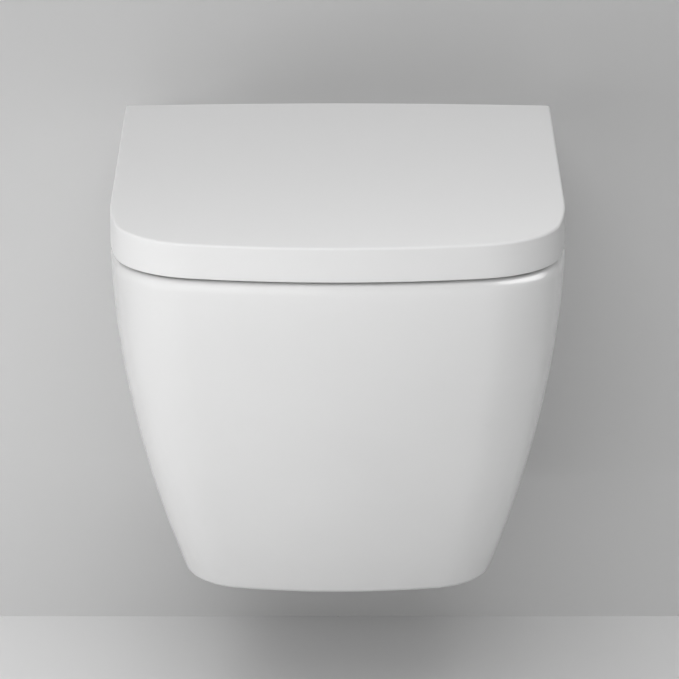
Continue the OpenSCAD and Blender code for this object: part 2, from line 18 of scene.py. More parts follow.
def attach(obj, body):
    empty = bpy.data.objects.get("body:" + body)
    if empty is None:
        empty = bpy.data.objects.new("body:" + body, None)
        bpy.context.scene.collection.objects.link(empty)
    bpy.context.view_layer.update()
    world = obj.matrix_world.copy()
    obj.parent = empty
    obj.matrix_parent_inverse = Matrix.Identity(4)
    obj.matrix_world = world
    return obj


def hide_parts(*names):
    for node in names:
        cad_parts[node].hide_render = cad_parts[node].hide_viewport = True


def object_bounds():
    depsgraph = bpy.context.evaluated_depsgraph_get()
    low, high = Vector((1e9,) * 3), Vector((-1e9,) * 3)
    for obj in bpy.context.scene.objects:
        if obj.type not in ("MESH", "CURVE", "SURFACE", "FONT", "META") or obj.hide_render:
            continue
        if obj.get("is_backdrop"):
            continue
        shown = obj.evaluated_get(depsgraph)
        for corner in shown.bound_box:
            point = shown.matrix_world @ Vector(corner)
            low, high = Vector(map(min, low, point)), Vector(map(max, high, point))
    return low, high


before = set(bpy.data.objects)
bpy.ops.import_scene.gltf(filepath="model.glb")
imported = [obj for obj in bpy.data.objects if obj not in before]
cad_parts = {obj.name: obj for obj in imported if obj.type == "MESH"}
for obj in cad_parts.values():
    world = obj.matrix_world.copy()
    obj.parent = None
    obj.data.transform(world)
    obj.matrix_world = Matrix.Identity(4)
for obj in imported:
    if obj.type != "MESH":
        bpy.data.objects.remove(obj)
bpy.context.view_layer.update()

# %% [markdown]
# ## The measures
#
# The CAD builds everything from a few dozen named sizes. They are repeated
# here in millimetres, because a sheet of numbers in one place is easier to
# check against a ruler than numbers spread over the file. "Reach" is a
# distance out from the wall, so a point at reach b has y = -b. Two forms leave
# the CAD by 1 to 2 mm, because the photograph's highlight under the lid asks
# for it: the rim's edge is rounded 4.5 mm in and 11 mm down, and the pan's
# front corners are a little tighter than the lid's. The last three numbers are
# the gap under each rubber pad and the play of a turning and of a pressed fit.

# %% Sizes in millimetres
MM = 0.001
SIDES = (-1, 1)
HANDS = ((-1, "left"), (1, "right"))

LID_W, PROJECTION = 360, 540
SIDE_R, SIDE_A, CORNER_R, CORNER_A, PAN_CORNER_R = 386, 10.3, 76.5, 78.5, 72

RIM_Z, PAN_H, PAN_W = 80, 330, 360
SIDE_TAPER, TAPER_POWER = 51, 1.6
FOOT_REACH, SWEEP_POWER, FOOT_CURVE = 309, 1.5, 0.86
SKIN_T, DECK_T, RIM_IN, RIM_DOWN, FOOT_R, INNER_R = 11, 13, 4.5, 11, 6, 10
FOOT_Z, DECK_Z = RIM_Z - PAN_H, RIM_Z - DECK_T

BOWL_W, BOWL_FRONT, BOWL_REAR, BOWL_D, BOWL_T = 284, 500, 176, 270, 10
SUMP_W, SUMP_FRONT, SUMP_REAR, SUMP_R, LIP_R = 64, 280, 222, 14, 6

INLET_Z, INLET_D, INLET_LEN, INLET_T, CHANNEL_D = 35, 55, 50, 9, 48
OUTLET_Z, OUTLET_D, OUTLET_T, OUTLET_LEN, PIPE_BACK = -100, 102, 6, 54, 2
TRAP_R, TRAP_T = 27, 9

STUD_X, STUD_HOLE_D, BRACKET_W, BRACKET_T, WASHER_T, NUT_T = 90, 13, 48, 8, 2.5, 10
SCREW_REACH, SCREW_D, SCREW_HOLE_D, RECESS_D, RECESS = 60, 8, 9, 16, 8

FIXING_X, FIXING_HOLE_D, BOLT_D = 77.5, 14, 6
HINGE_REACH, HINGE_Z, HINGE_BACK = 93, 97.5, 12
LID_REAR, LID_LOW, LID_TOP, LID_T = 81, 82, 109.5, 3.5
LID_UNDER, CROWN, LID_EDGE_R, LID_REAR_R = 106, 2, 2, 4
RING_LOW, RING_TOP, RING_W, RING_FRONT, RING_REAR = 84, 100, 347, 533.5, 106
OPENING_W, OPENING_FRONT, OPENING_REAR = 222, 458, 188

BARREL_R, AXLE_D, DAMPER_D, DAMPER_FLOOR = 8.2, 6, 12.3, 3.5
BLOCK_IN, BLOCK_OUT = 60.3, 94.7
EAR_IN, EAR_OUT, LUG_IN, LUG_OUT = 96, 120, 121.3, 140.3
DAMPER_IN, DAMPER_OUT = 20, 59
PLATE_Z, POST_LOW, POST_TOP, PLATE_D, POST_D = 81, 83, 92.5, 38, 8
LATCH_Z, LATCH_T, LATCH_GROOVE_R, BUTTON_D = 87.6, 1.5, 2.8, 6

SEAT_PAD_X, SEAT_PAD_REACH, SEAT_PEG_R = 148, {"front": 430, "rear": 180}, 4
LID_PAD_X, LID_PAD_REACH, LID_PAD_Z, LID_PEG_R = 95, 478, 105, 3
REST_GAP, RUN, PRESS = 0.3, 0.05, 0.02

print("pan:", PAN_W, "wide,", PAN_H, "high; lid reaches", PROJECTION)

# %% [markdown]
# ## From rings of points to a closed skin
#
# Almost every piece is a stack of closed rings: a foot outline that grows into
# a rim, a circle that runs along a pipe, a rounded rectangle. Blender could
# bridge edge loops by hand, but here whole arrays of points are made at once
# and stitched by index arithmetic, which gives even quads and exact sizes.

# %% Stitch rings into a mesh
def linked(name, points, faces):
    """New object in the scene from points in millimetres."""
    mesh = bpy.data.meshes.new(name)
    mesh.from_pydata((points * MM).tolist(), [], faces)
    piece = bpy.data.objects.new(name, mesh)
    bpy.context.scene.collection.objects.link(piece)
    return piece


def skin(name, rings, loop=False):
    """Closed mesh through rings, an array (rings, points, 3) in millimetres.

    Point i of ring s joins point i of ring s + 1. The two end rings close on
    their middles, or with loop the last ring joins the first. Where the sum of
    the volumes of all faces against the middle is negative, the faces turn over.
    """
    rings = np.asarray(rings, float)
    m, n, _ = rings.shape
    s, i = np.meshgrid(np.arange(m if loop else m - 1), np.arange(n), indexing="ij")
    a, d, j = s * n, ((s + 1) % m) * n, (i + 1) % n
    faces = np.stack([a + i, a + j, d + j, d + i], -1).reshape(-1, 4).tolist()
    points = rings.reshape(-1, 3)
    if not loop:
        k, j = np.arange(n), (np.arange(n) + 1) % n
        first, last = m * n, m * n + 1
        points = np.vstack([points, rings[0].mean(0), rings[-1].mean(0)])
        faces += np.stack([j, k, np.full(n, first)], 1).tolist()
        faces += np.stack([k + (m - 1) * n, j + (m - 1) * n, np.full(n, last)], 1).tolist()
    quads = points[np.array([f if len(f) == 4 else f[:3] + f[2:] for f in faces])]
    p0, p1, p2, p3 = np.moveaxis(quads - points.mean(0), 1, 0)
    if np.einsum("ij,ij->", p0, np.cross(p1, p2) + np.cross(p2, p3)) < 0:
        faces = [f[::-1] for f in faces]
    return linked(name, points, faces)


# %% Round edges
def rounding(across, deep, n):
    """Pairs (inset, depth) at n places round a quarter of an ellipse, from
    (0, deep) to (across, 0): across (1 - cos a) and deep (1 - sin a)."""
    a = np.radians(np.linspace(0, 90, n))
    return list(zip(across * (1 - np.cos(a)), deep * (1 - np.sin(a))))


def shrink(profile, inset):
    """The closed profile moved inwards: each point goes inset along the normal
    of the line through its two neighbours."""
    along = np.roll(profile, -1, 0) - np.roll(profile, 1, 0)
    along /= np.linalg.norm(along, axis=1, keepdims=True)
    return profile + inset * np.stack([-along[:, 1], along[:, 0]], 1)


# %% A round-edged bar of any profile
def place(axis, profile, where):
    """Points of a flat profile at one position along an axis. The profile holds
    (reach, z) for x, (x, z) for y and (x, reach) for z."""
    flat = np.full(len(profile), float(where))
    u, v = profile[:, 0], profile[:, 1]
    columns = {"x": (flat, -u, v), "y": (u, -flat, v), "z": (u, -v, flat)}[axis]
    return np.stack(columns, 1)


def prism(name, axis, profile, start, end, edge=0.0, steps=4):
    """The profile carried along an axis between two positions, with both ends
    rounded by the radius edge."""
    low, high = sorted((start, end))
    ends = rounding(edge, edge, steps + 1 if edge else 1)
    rings = [place(axis, shrink(profile, inset), low + depth) for inset, depth in ends[::-1]]
    rings += [place(axis, shrink(profile, inset), high - depth) for inset, depth in ends]
    return skin(name, rings)


def disc(u, v, r, n=64):
    """Circle of radius r about (u, v), counterclockwise."""
    a = np.linspace(0, 2 * np.pi, n, endpoint=False)
    return np.stack([u + r * np.cos(a), v + r * np.sin(a)], 1)


def slab(u0, u1, v0, v1, r, n=6):
    """Rectangle with corners of radius r, counterclockwise."""
    u0, u1 = sorted((u0, u1))
    a = np.radians(np.arange(4)[:, None] * 90 + np.linspace(0, 90, n)[None, :])
    cu = np.array([u1 - r, u0 + r, u0 + r, u1 - r])[:, None]
    cv = np.array([v1 - r, v1 - r, v0 + r, v0 + r])[:, None]
    return np.stack([cu + r * np.cos(a), cv + r * np.sin(a)], -1).reshape(-1, 2)


# %% A turned piece
def turned(name, axis, u, v, profile, n=64, s=1):
    """Surface of revolution about the line through (u, v) along an axis. Each
    profile point (position, radius) gives a circle, and a flat face closes an
    end that isn't on the line. With s = -1 all positions are mirrored."""
    (first, r0), (last, r1) = profile[0], profile[-1]
    profile = [(first, 0)] * bool(r0) + list(profile) + [(last, 0)] * bool(r1)
    return skin(name, [place(axis, disc(u, v, max(r, 1e-3), n), s * w) for w, r in profile])


def fillet(w, r, dw, dr, steps=5):
    """Quarter of an ellipse in a turned profile. It starts at (w, r), leaves
    along the axis, and ends at (w + dw, r + dr) at right angles to it."""
    a = np.radians(np.linspace(0, 90, steps + 1))
    return list(zip(w + dw * np.sin(a), r + dr * (1 - np.cos(a))))


# %% [markdown]
# ## Cutting and joining
#
# A ceramic pan is hollow, pierced and branched, which no single stack of rings
# can describe. Sculpting the meeting lines by hand would take long, so closed
# skins are cut from and joined to each other with Boolean modifiers. Every
# skin here is watertight, and that lets Blender's fast Manifold solver work.
# Faces that would lie in one plane are kept a hair apart, and tools stand past
# what they cut by a millimetre or more.

# %% Boolean steps
HAIR = 0.02


def combine(how, base, *tools):
    """Takes each tool from the base, joins it or keeps what both share."""
    for tool in tools:
        step = base.modifiers.new("step", "BOOLEAN")
        step.operation, step.solver, step.object = how, "MANIFOLD", tool
        view = bpy.context.evaluated_depsgraph_get()
        made = bpy.data.meshes.new_from_object(base.evaluated_get(view), depsgraph=view)
        base.modifiers.clear()
        old, base.data = base.data, made
        spent = tool.data
        bpy.data.objects.remove(tool)
        bpy.data.meshes.remove(spent)
        bpy.data.meshes.remove(old)
    return base


def cut(base, *tools):
    return combine("DIFFERENCE", base, *tools)


def join(base, *tools):
    return combine("UNION", base, *tools)


# %% Finish a piece
SHARP_ANGLE = math.radians(32)


def finish(piece, name, body, material, nodes):
    """Smooth shading up to the sharp angle, one material, and its place in the
    frame: the body that it moves with and the CAD nodes that it stands for."""
    mesh = piece.data
    piece.name = mesh.name = name
    mesh.validate()
    mesh.polygons.foreach_set("use_smooth", np.ones(len(mesh.polygons), bool))
    mesh.set_sharp_from_angle(angle=SHARP_ANGLE)
    if not mesh.materials:
        mesh.materials.append(material)
    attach(piece, body)
    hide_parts(*nodes)
    mesh.calc_loop_triangles()
    print(f"{name}: {len(mesh.loop_triangles)} triangles on {body}")


# %% [markdown]
# ## Finishes
#
# New sanitaryware is nearly uniform, so its look lives in small things: glaze
# that is a touch thicker here and thinner there, a skin that is not perfectly
# flat, brushed lines in steel, a matte grain on moulded plastic and rubber.
# Painted textures would need unwrapping. Noise in object space needs none, and
# keeps its real scale. Effects that several finishes share are node groups.

# %% Small helpers for nodes
def preset(node, inputs):
    for label, value in dict(inputs).items():
        node.inputs[label].default_value = value
    return node


def add(tree, kind, inputs=(), **settings):
    """New node with its settings, then its inputs' values."""
    node = tree.nodes.new(kind)
    for key, value in settings.items():
        setattr(node, key, value)
    return preset(node, inputs)


def wire(tree, *links):
    """A link for each row of source node, its output, target node, its input."""
    for source, out, target, into in links:
        tree.links.new(source.outputs[out], target.inputs[into])


def new_group(name, inputs, outputs):
    """Node group with named float inputs and outputs given as name: type."""
    group = bpy.data.node_groups.new(name, "ShaderNodeTree")
    for label, default in inputs.items():
        made = group.interface.new_socket(label, in_out="INPUT", socket_type="NodeSocketFloat")
        made.default_value = default
    for label, kind in outputs.items():
        group.interface.new_socket(label, in_out="OUTPUT", socket_type=kind)
    return group, add(group, "NodeGroupInput"), add(group, "NodeGroupOutput")


# %% Slow drift of tone and gloss
def make_drift():
    """Mask = noise of the given scale, stretched from its middle range to 0..1."""
    group, given, result = new_group(
        "slow_drift", {"Scale": 9.0, "Detail": 2.0}, {"Mask": "NodeSocketFloat"})
    where = add(group, "ShaderNodeTexCoord")
    noise = add(group, "ShaderNodeTexNoise", {"Roughness": 0.45})
    spread = add(group, "ShaderNodeMapRange", {"From Min": 0.32, "From Max": 0.68})
    wire(group, (where, "Object", noise, "Vector"), (given, "Scale", noise, "Scale"),
         (given, "Detail", noise, "Detail"), (noise, "Fac", spread, "Value"),
         (spread, "Result", result, "Mask"))
    return group


DRIFT = make_drift()


# %% Fine skin
def make_skin_bump():
    """Normal bent by noise of the given scale and depth in metres."""
    group, given, result = new_group(
        "fine_skin", {"Scale": 400.0, "Depth": 0.0001}, {"Normal": "NodeSocketVector"})
    where = add(group, "ShaderNodeTexCoord")
    noise = add(group, "ShaderNodeTexNoise", {"Detail": 3.0})
    bump = add(group, "ShaderNodeBump", {"Strength": 1.0})
    wire(group, (where, "Object", noise, "Vector"), (given, "Scale", noise, "Scale"),
         (noise, "Fac", bump, "Height"), (given, "Depth", bump, "Distance"),
         (bump, "Normal", result, "Normal"))
    return group


SKIN = make_skin_bump()


# %% Brushed lines
def make_brushed():
    """Fine streaks around the vertical axis: noise squeezed 60 times in z. It
    gives a mask for roughness and a normal with very shallow grooves."""
    group, given, result = new_group(
        "brushed_lines", {"Scale": 30.0, "Depth": 0.00003},
        {"Mask": "NodeSocketFloat", "Normal": "NodeSocketVector"})
    where = add(group, "ShaderNodeTexCoord")
    squeeze = add(group, "ShaderNodeMapping", {"Scale": (1.0, 1.0, 60.0)})
    noise = add(group, "ShaderNodeTexNoise", {"Detail": 4.0})
    bump = add(group, "ShaderNodeBump")
    wire(group, (where, "Object", squeeze, "Vector"), (squeeze, "Vector", noise, "Vector"),
         (given, "Scale", noise, "Scale"), (noise, "Fac", bump, "Height"),
         (given, "Depth", bump, "Distance"), (noise, "Fac", result, "Mask"),
         (bump, "Normal", result, "Normal"))
    return group


BRUSHED = make_brushed()


# %% Build a finish from two tones and two gloss levels
def new_material(name, inputs):
    """Material with values on its Principled shader's own sockets."""
    material = bpy.data.materials.new(name)
    material.use_nodes = True
    tree = material.node_tree
    return material, tree, preset(tree.nodes["Principled BSDF"], inputs)


def finish_of(name, tone_a, tone_b, gloss, drift, depth, grain, metal=0.0, coat=0.0,
              lines=False):
    """Material: the drift mask mixes two base colours and two roughness values,
    and the fine skin, or brushed lines, bends the normal."""
    material, tree, shader = new_material(name, {
        "Metallic": metal, "Coat Weight": coat, "Coat Roughness": 0.25, "IOR": 1.5})
    mask = add(tree, "ShaderNodeGroup", {"Scale": drift}, node_tree=DRIFT)
    tone = add(tree, "ShaderNodeMix", {"A": (*tone_a, 1), "B": (*tone_b, 1)}, data_type="RGBA")
    level = add(tree, "ShaderNodeMapRange", {"To Min": gloss[0], "To Max": gloss[1]})
    bend = add(tree, "ShaderNodeGroup", {"Scale": grain, "Depth": depth},
               node_tree=BRUSHED if lines else SKIN)
    wire(tree, (mask, "Mask", tone, "Factor"), (tone, "Result", shader, "Base Color"),
         (bend if lines else mask, "Mask", level, "Value"),
         (level, "Result", shader, "Roughness"), (bend, "Normal", shader, "Normal"))
    return material


# %% The finishes
GLAZE = finish_of("white_glaze", (0.80, 0.80, 0.80), (0.82, 0.82, 0.82),
                  (0.20, 0.25), 7.0, 0.00005, 60.0, coat=0.8)
BISCUIT = finish_of("unglazed_biscuit", (0.62, 0.585, 0.53), (0.70, 0.67, 0.62),
                    (0.82, 0.95), 25.0, 0.0003, 900.0)
SEAT_WHITE = finish_of("white_thermoset", (0.80, 0.80, 0.80), (0.815, 0.815, 0.815),
                       (0.22, 0.27), 11.0, 0.00002, 250.0, coat=0.5)
STEEL = finish_of("satin_steel", (0.60, 0.605, 0.61), (0.70, 0.705, 0.71),
                  (0.22, 0.42), 40.0, 0.00002, 30.0, metal=1.0, lines=True)
ZINC = finish_of("zinc_plated_steel", (0.40, 0.415, 0.43), (0.56, 0.575, 0.59),
                 (0.28, 0.46), 90.0, 0.0001, 300.0, metal=1.0)
SEAL = finish_of("black_rubber", (0.018, 0.018, 0.019), (0.035, 0.035, 0.036),
                 (0.62, 0.78), 60.0, 0.0002, 1500.0)
BUFFER = finish_of("pale_rubber", (0.50, 0.50, 0.50), (0.56, 0.56, 0.555),
                   (0.50, 0.62), 60.0, 0.0001, 1200.0)
GREY = finish_of("grey_moulding", (0.20, 0.205, 0.21), (0.24, 0.245, 0.25),
                 (0.42, 0.52), 50.0, 0.0001, 2200.0)
DARK = finish_of("dark_moulding", (0.03, 0.03, 0.032), (0.05, 0.05, 0.052),
                 (0.40, 0.50), 50.0, 0.0001, 2200.0)
print("finishes:", sorted(m.name for m in bpy.data.materials))

# %% [markdown]
# ## The plan curve
#
# Seen from above, lid, seat and rim share one outline. Its front is a shallow
# arc, its corners are tight arcs and its sides bow out a little before they run
# straight back to the wall. Three arcs that touch with equal directions give
# that line with no kink in the reflections, where a Bezier would need tuning.

# %% Three tangent arcs
def arc(centre, radius, start, end, count, closed=False):
    """centre + radius (cos a, sin a) for angles a from start towards end, with
    the last point at end if closed."""
    a = np.radians(np.linspace(start, end, count, endpoint=closed))
    return np.stack([centre[0] + radius * np.cos(a), centre[1] + radius * np.sin(a)], 1)


def turn(angle):
    return np.array([math.cos(math.radians(angle)), math.sin(math.radians(angle))])


def nose_of(corner_r):
    """Right half of the curved front, from its middle to where the straight side
    begins: front arc, corner arc and side arc, with their centres in line where
    two of them meet."""
    side_c = np.array([LID_W / 2 - SIDE_R, 0.0])
    corner_c = side_c + (SIDE_R - corner_r) * turn(SIDE_A)
    front_r = corner_r + corner_c[0] / math.cos(math.radians(CORNER_A))
    front_c = np.array([0.0, corner_c[1] - corner_c[0] * math.tan(math.radians(CORNER_A))])
    return np.vstack([
        arc(front_c, front_r, 90, CORNER_A, 20), arc(corner_c, corner_r, CORNER_A, SIDE_A, 30),
        arc(side_c, SIDE_R, SIDE_A, 0, 10), [[LID_W / 2, 0.0]]])


LID_NOSE, PAN_NOSE = nose_of(CORNER_R), nose_of(PAN_CORNER_R)
print(f"curved front {LID_NOSE[0, 1]:.0f} mm long on the lid, {PAN_NOSE[0, 1]:.0f} mm on the pan")


# %% The closed outline
def outline(w, f, b, k=1.0, rr=0.0, nose=LID_NOSE):
    """Closed ring from the front centre: the nose, scaled to half width w and
    curve depth k, ends at reach f; straight sides run back to reach b, with rear
    corners of radius rr."""
    nose = np.stack([2 * w * nose[:, 0] / LID_W, k * (nose[0, 1] - nose[:, 1]) - f], 1)
    side = np.linspace(nose[-1], [w, -b - rr], 15)[1:-1]
    corner = arc((w - rr, -b - rr), rr, 0, 90, 7, closed=True) if rr else [[w, -b]]
    rear = np.linspace([w - rr, -b], [0, -b], 11)[1:]
    half = np.vstack([nose, side, corner, rear])
    return np.vstack([half, half[-2:0:-1] * [-1, 1]])


def at(ring, z):
    """A flat ring lifted to the height z, which may differ from point to point."""
    return np.column_stack([ring, np.broadcast_to(z, len(ring))])


def between(first, last, parts):
    """Rings that share the way between two rings into equal parts."""
    return [first + (last - first) * k for k in np.linspace(0, 1, parts + 1)[1:-1]]


# %% [markdown]
# ## The ceramic pan
#
# The pan is slip-cast: liquid clay sets against a plaster mould, so walls are
# about a centimetre thick and every edge is rounded. Outside, the sides draw in
# and the front sweeps back towards the foot, slowly at first. The outer skin,
# the rim and the bowl are one stack of rings, from under the foot, up and over
# the rim and down to the sump, so the glaze flows over the rim without a seam.

# %% Outer skin
def half_w(u):
    """Half width at the share u of the height, from rim 0 to foot 1:
    half the rim's width minus taper times u to a power."""
    return PAN_W / 2 - SIDE_TAPER * u ** TAPER_POWER


def reach(u):
    """Reach of the front: the rim's reach, drawn back by u to the sweep power.
    The rim stays 2 mm behind the lid."""
    return PROJECTION - 2 - (PROJECTION - 2 - FOOT_REACH) * u ** SWEEP_POWER


def pan_ring(z, inset, b=0.0):
    """Outline of the pan at the height z, drawn in by inset."""
    u = max(0.0, (RIM_Z - z) / PAN_H)
    curve = 1 - (1 - FOOT_CURVE) * u
    return at(outline(half_w(u) - inset, reach(u) - inset, b, curve, nose=PAN_NOSE), z)


foot_round = [pan_ring(FOOT_Z + depth, inset)
              for inset, depth in rounding(FOOT_R, FOOT_R, 9)[::-1]]
sides = [pan_ring(RIM_Z - u * PAN_H, 0)
         for u in np.linspace(1 - FOOT_R / PAN_H, RIM_DOWN / PAN_H, 46)[1:-1]]
rim_round = [pan_ring(RIM_Z - depth, inset) for inset, depth in rounding(RIM_IN, RIM_DOWN, 17)]
outer_rings = foot_round + sides + rim_round
print("outer rings:", len(outer_rings))

# %% [markdown]
# The bowl is a funnel with an egg-shaped section. How far it has opened is a
# share between 0 at the sump and 1 at the rim, and width and reach follow that
# share. The rings take their angles from the rim's own points, so that the flat
# rim between them has no crossing lines.

# %% Bowl
def polar(a, w, h, power):
    """Radius of a rounded rectangle-like curve: (|cos a|/w)^p + (|sin a|/h)^p = r^-p."""
    return (np.abs(np.cos(a) / w) ** power + np.abs(np.sin(a) / h) ** power) ** (-1 / power)


def bowl_ring(a, t, grow, z):
    """Egg section at the share t of the depth, grown outwards, at the height z.
    The opened share is (1 - t^1.5)^1.2."""
    s = (1 - min(t, 1.0) ** 1.5) ** 1.2
    w = SUMP_W / 2 + (BOWL_W - SUMP_W) / 2 * s + grow
    f = SUMP_FRONT + (BOWL_FRONT - SUMP_FRONT) * s + grow
    b = SUMP_REAR + (BOWL_REAR - SUMP_REAR) * s - grow
    r = polar(a, w, (f - b) / 2, 2.4)
    return np.column_stack([r * np.cos(a), r * np.sin(a) - (f + b) / 2, np.full(len(a), z)])


rim_in = rim_round[-1]
bowl_angles = np.arctan2(rim_in[:, 1] + (BOWL_FRONT + BOWL_REAR) / 2, rim_in[:, 0])
lip = [bowl_ring(bowl_angles, depth / BOWL_D, grow, RIM_Z - depth)
       for depth, grow in rounding(LIP_R, LIP_R, 9)]
wall = [bowl_ring(bowl_angles, t, 0, RIM_Z - t * BOWL_D)
        for t in np.linspace(LIP_R / BOWL_D, 1 - SUMP_R / BOWL_D, 40)[1:]]
sump = [bowl_ring(bowl_angles, 1 - height / BOWL_D, -inset, RIM_Z - BOWL_D + height)
        for inset, height in rounding(SUMP_R, SUMP_R, 7)[1:]]
pan = skin("pan", outer_rings + between(rim_in, lip[0], 6) + lip + wall + sump)
print("pan skin:", len(pan.data.polygons), "faces")

# %% [markdown]
# From behind, the pan is open: the wall fixings and the pipes are reached there.
# The space inside is cut out with one tool. That tool is the inner skin, less
# everything that has to stay: the bowl's outside, the trap, the flush inlet and
# the bosses under the seat fixings.

# %% Pipes along a path
TRAP = np.array([
    [262, -50, TRAP_R], [254, -82, TRAP_R], [238, -100, TRAP_R], [214, -108, TRAP_R],
    [190, -104, TRAP_R], [170, -86, TRAP_R], [158, -60, TRAP_R], [146, -36, TRAP_R + 2],
    [126, -16, TRAP_R + 6], [98, -3, TRAP_R + 11], [72, 0, OUTLET_D / 2 - OUTLET_T - 3],
    [56, 0, OUTLET_D / 2 - OUTLET_T - 2]], float)


def smooth_path(points, steps=6):
    """Catmull-Rom curve: each stretch blends the cubic through four neighbours."""
    p = np.vstack([2 * points[0] - points[1], points, 2 * points[-1] - points[-2]])
    t = np.linspace(0, 1, steps, endpoint=False)[None, :, None]
    p0, p1, p2, p3 = (p[k:len(p) - 3 + k][:, None, :] for k in range(4))
    curve = 0.5 * (2 * p1 + (p2 - p0) * t + (2 * p0 - 5 * p1 + 4 * p2 - p3) * t ** 2
                   + (3 * p1 - p0 - 3 * p2 + p3) * t ** 3)
    return np.vstack([curve.reshape(-1, points.shape[1]), points[-1:]])


def trap_tube(name, grow):
    """Circles square to the path through rows of reach, height over the outlet's
    middle and radius, to which grow is added."""
    path = smooth_path(TRAP)
    along = np.gradient(path[:, :2], axis=0)
    a = np.arctan2(along[:, 1], along[:, 0])[:, None]
    c = np.linspace(0, 2 * np.pi, 56, endpoint=False)[None, :]
    r = path[:, 2:3] + grow
    rings = np.stack([r * np.cos(c), np.sin(a) * r * np.sin(c) - path[:, :1],
                      OUTLET_Z + path[:, 1:2] + np.cos(a) * r * np.sin(c)], -1)
    return skin(name, rings)


def pipe(name, z, r, edge, rest, n):
    """Outside of a pipe at the height z: a mouth of radius r, rounded by edge, and
    then the rest of the profile."""
    mouth = fillet(PIPE_BACK + edge, r, -edge, -edge, 3)[::-1]
    return turned(name, "y", 0, z, mouth + rest, n)


# %% The space inside
BEHIND = -5
low, high = FOOT_Z + SKIN_T, DECK_Z
inner_round = rounding(INNER_R, INNER_R, 7)
hollow = skin("hollow", (
    [pan_ring(low + depth, SKIN_T + inset, BEHIND) for inset, depth in inner_round[::-1]]
    + [pan_ring(z, SKIN_T, BEHIND)
       for z in np.linspace(low + INNER_R, high - INNER_R, 22)[1:-1]]
    + [pan_ring(high - depth, SKIN_T + inset, BEHIND) for inset, depth in inner_round]))
even = np.linspace(0, 2 * np.pi, 96, endpoint=False) - np.pi / 2
bowl_shell = skin("bowl_shell", [
    bowl_ring(even, t, BOWL_T, RIM_Z - t * (BOWL_D + BOWL_T))
    for t in np.linspace(1, (DECK_T - 4) / (BOWL_D + BOWL_T), 34)])
inlet_r = INLET_D / 2 + INLET_T
spigot = pipe("spigot", OUTLET_Z, OUTLET_D / 2, 2, [
    (OUTLET_LEN + 2, OUTLET_D / 2), (OUTLET_LEN + 12, OUTLET_D / 2 - 5)], 96)
inlet = pipe("inlet", INLET_Z, inlet_r, 3, [(BOWL_REAR + 4, inlet_r)], 80)
cut(hollow, bowl_shell, trap_tube("trap_shell", TRAP_T), spigot, inlet)
side_face = half_w(RIM_Z / PAN_H)
inner_face = side_face - SKIN_T
for s in SIDES:
    cut(hollow,
        turned("boss", "z", s * FIXING_X, HINGE_REACH, [
            (RIM_Z - 40, 14.5), (RIM_Z - 39.4, 15.6), (RIM_Z - 38, 16), (DECK_Z - 6, 16),
            (DECK_Z - 2, 17.2), (DECK_Z, 20), (DECK_Z + 6, 20)]),
        turned("screw_boss", "x", SCREW_REACH, 0, [
            (inner_face - 12, 16), (inner_face - 11, 17.6), (inner_face - 9, 18),
            (inner_face - 3, 18), (inner_face + 4, 22)], s=s))
print("space inside:", len(hollow.data.polygons), "faces")

# %% [markdown]
# The faces that come from this tool stay unglazed on the real pan, because the
# glaze is sprayed on from the front. They get the matte, buff biscuit finish by
# their material index, which the cut hands on to the new faces.

# %% Cut the pan open
for piece in (pan, hollow):
    piece.data.materials.append(GLAZE)
    piece.data.materials.append(BISCUIT)
hollow.data.polygons.foreach_set("material_index", np.ones(len(hollow.data.polygons), int))
cut(pan, hollow)
outlet_r, inlet_r, hole_r = OUTLET_D / 2 - OUTLET_T, INLET_D / 2, FIXING_HOLE_D / 2
cut(pan, trap_tube("trap_way", 0),
    turned("spigot_way", "y", 0, OUTLET_Z, [
        (-1, outlet_r + 2.5), (2, outlet_r + 1.2), (4.5, outlet_r), (OUTLET_LEN + 2, outlet_r),
        (OUTLET_LEN + 5, outlet_r - 2.2)], 96),
    turned("inlet_way", "y", 0, INLET_Z, [
        (-1, inlet_r + 3), (2, inlet_r + 1.7), (4.5, inlet_r), (INLET_LEN + 2, inlet_r),
        (INLET_LEN + 6, CHANNEL_D / 2), (BOWL_REAR + 20, CHANNEL_D / 2)], 80))
for s in SIDES:
    cut(pan,
        turned("seat_hole", "z", s * FIXING_X, HINGE_REACH, [
            (RIM_Z - 41, hole_r), (RIM_Z - 1.5, hole_r), (RIM_Z - 0.6, hole_r + 0.3),
            (RIM_Z, hole_r + 1.3), (RIM_Z + 1, hole_r + 3)]),
        turned("screw_hole", "x", SCREW_REACH, 0, [
            (side_face - 40, SCREW_HOLE_D / 2), (side_face - RECESS + 1, SCREW_HOLE_D / 2)], s=s),
        turned("cap_recess", "x", SCREW_REACH, 0, [
            (side_face - RECESS, RECESS_D / 2), (side_face - 0.8, RECESS_D / 2),
            (side_face + 0.3, RECESS_D / 2 + 0.5), (side_face + 3, RECESS_D / 2 + 1.5)], s=s))
finish(pan, "ceramic_pan", "fixed", GLAZE, ["pan", "bowl", "trap", "flush_channel"])
which = np.zeros(len(pan.data.polygons), int)
pan.data.polygons.foreach_get("material_index", which)
print("unglazed faces:", int((which == 1).sum()), "of", len(which))

# %% [markdown]
# ## The seat ring
#
# The seat is a thick plastic moulding. Its outer edge hides inside the lid's
# skirt, its upper side slopes very slightly inwards, and a generous rounding
# leads into the opening. One closed loop of rings goes right round the section:
# under the ring, up its outer edge, across the top and down into the opening.

# %% The ring's section
def ring_outer(inset, z):
    """Outer edge of the seat, drawn in by inset, at the height z."""
    return at(outline(RING_W / 2 - inset, RING_FRONT - inset, RING_REAR + inset, 1, 12), z)


seat_mid = -(OPENING_FRONT + OPENING_REAR) / 2
edge_ring = ring_outer(0, 0)
seat_angles = np.arctan2(edge_ring[:, 1] - seat_mid, edge_ring[:, 0])


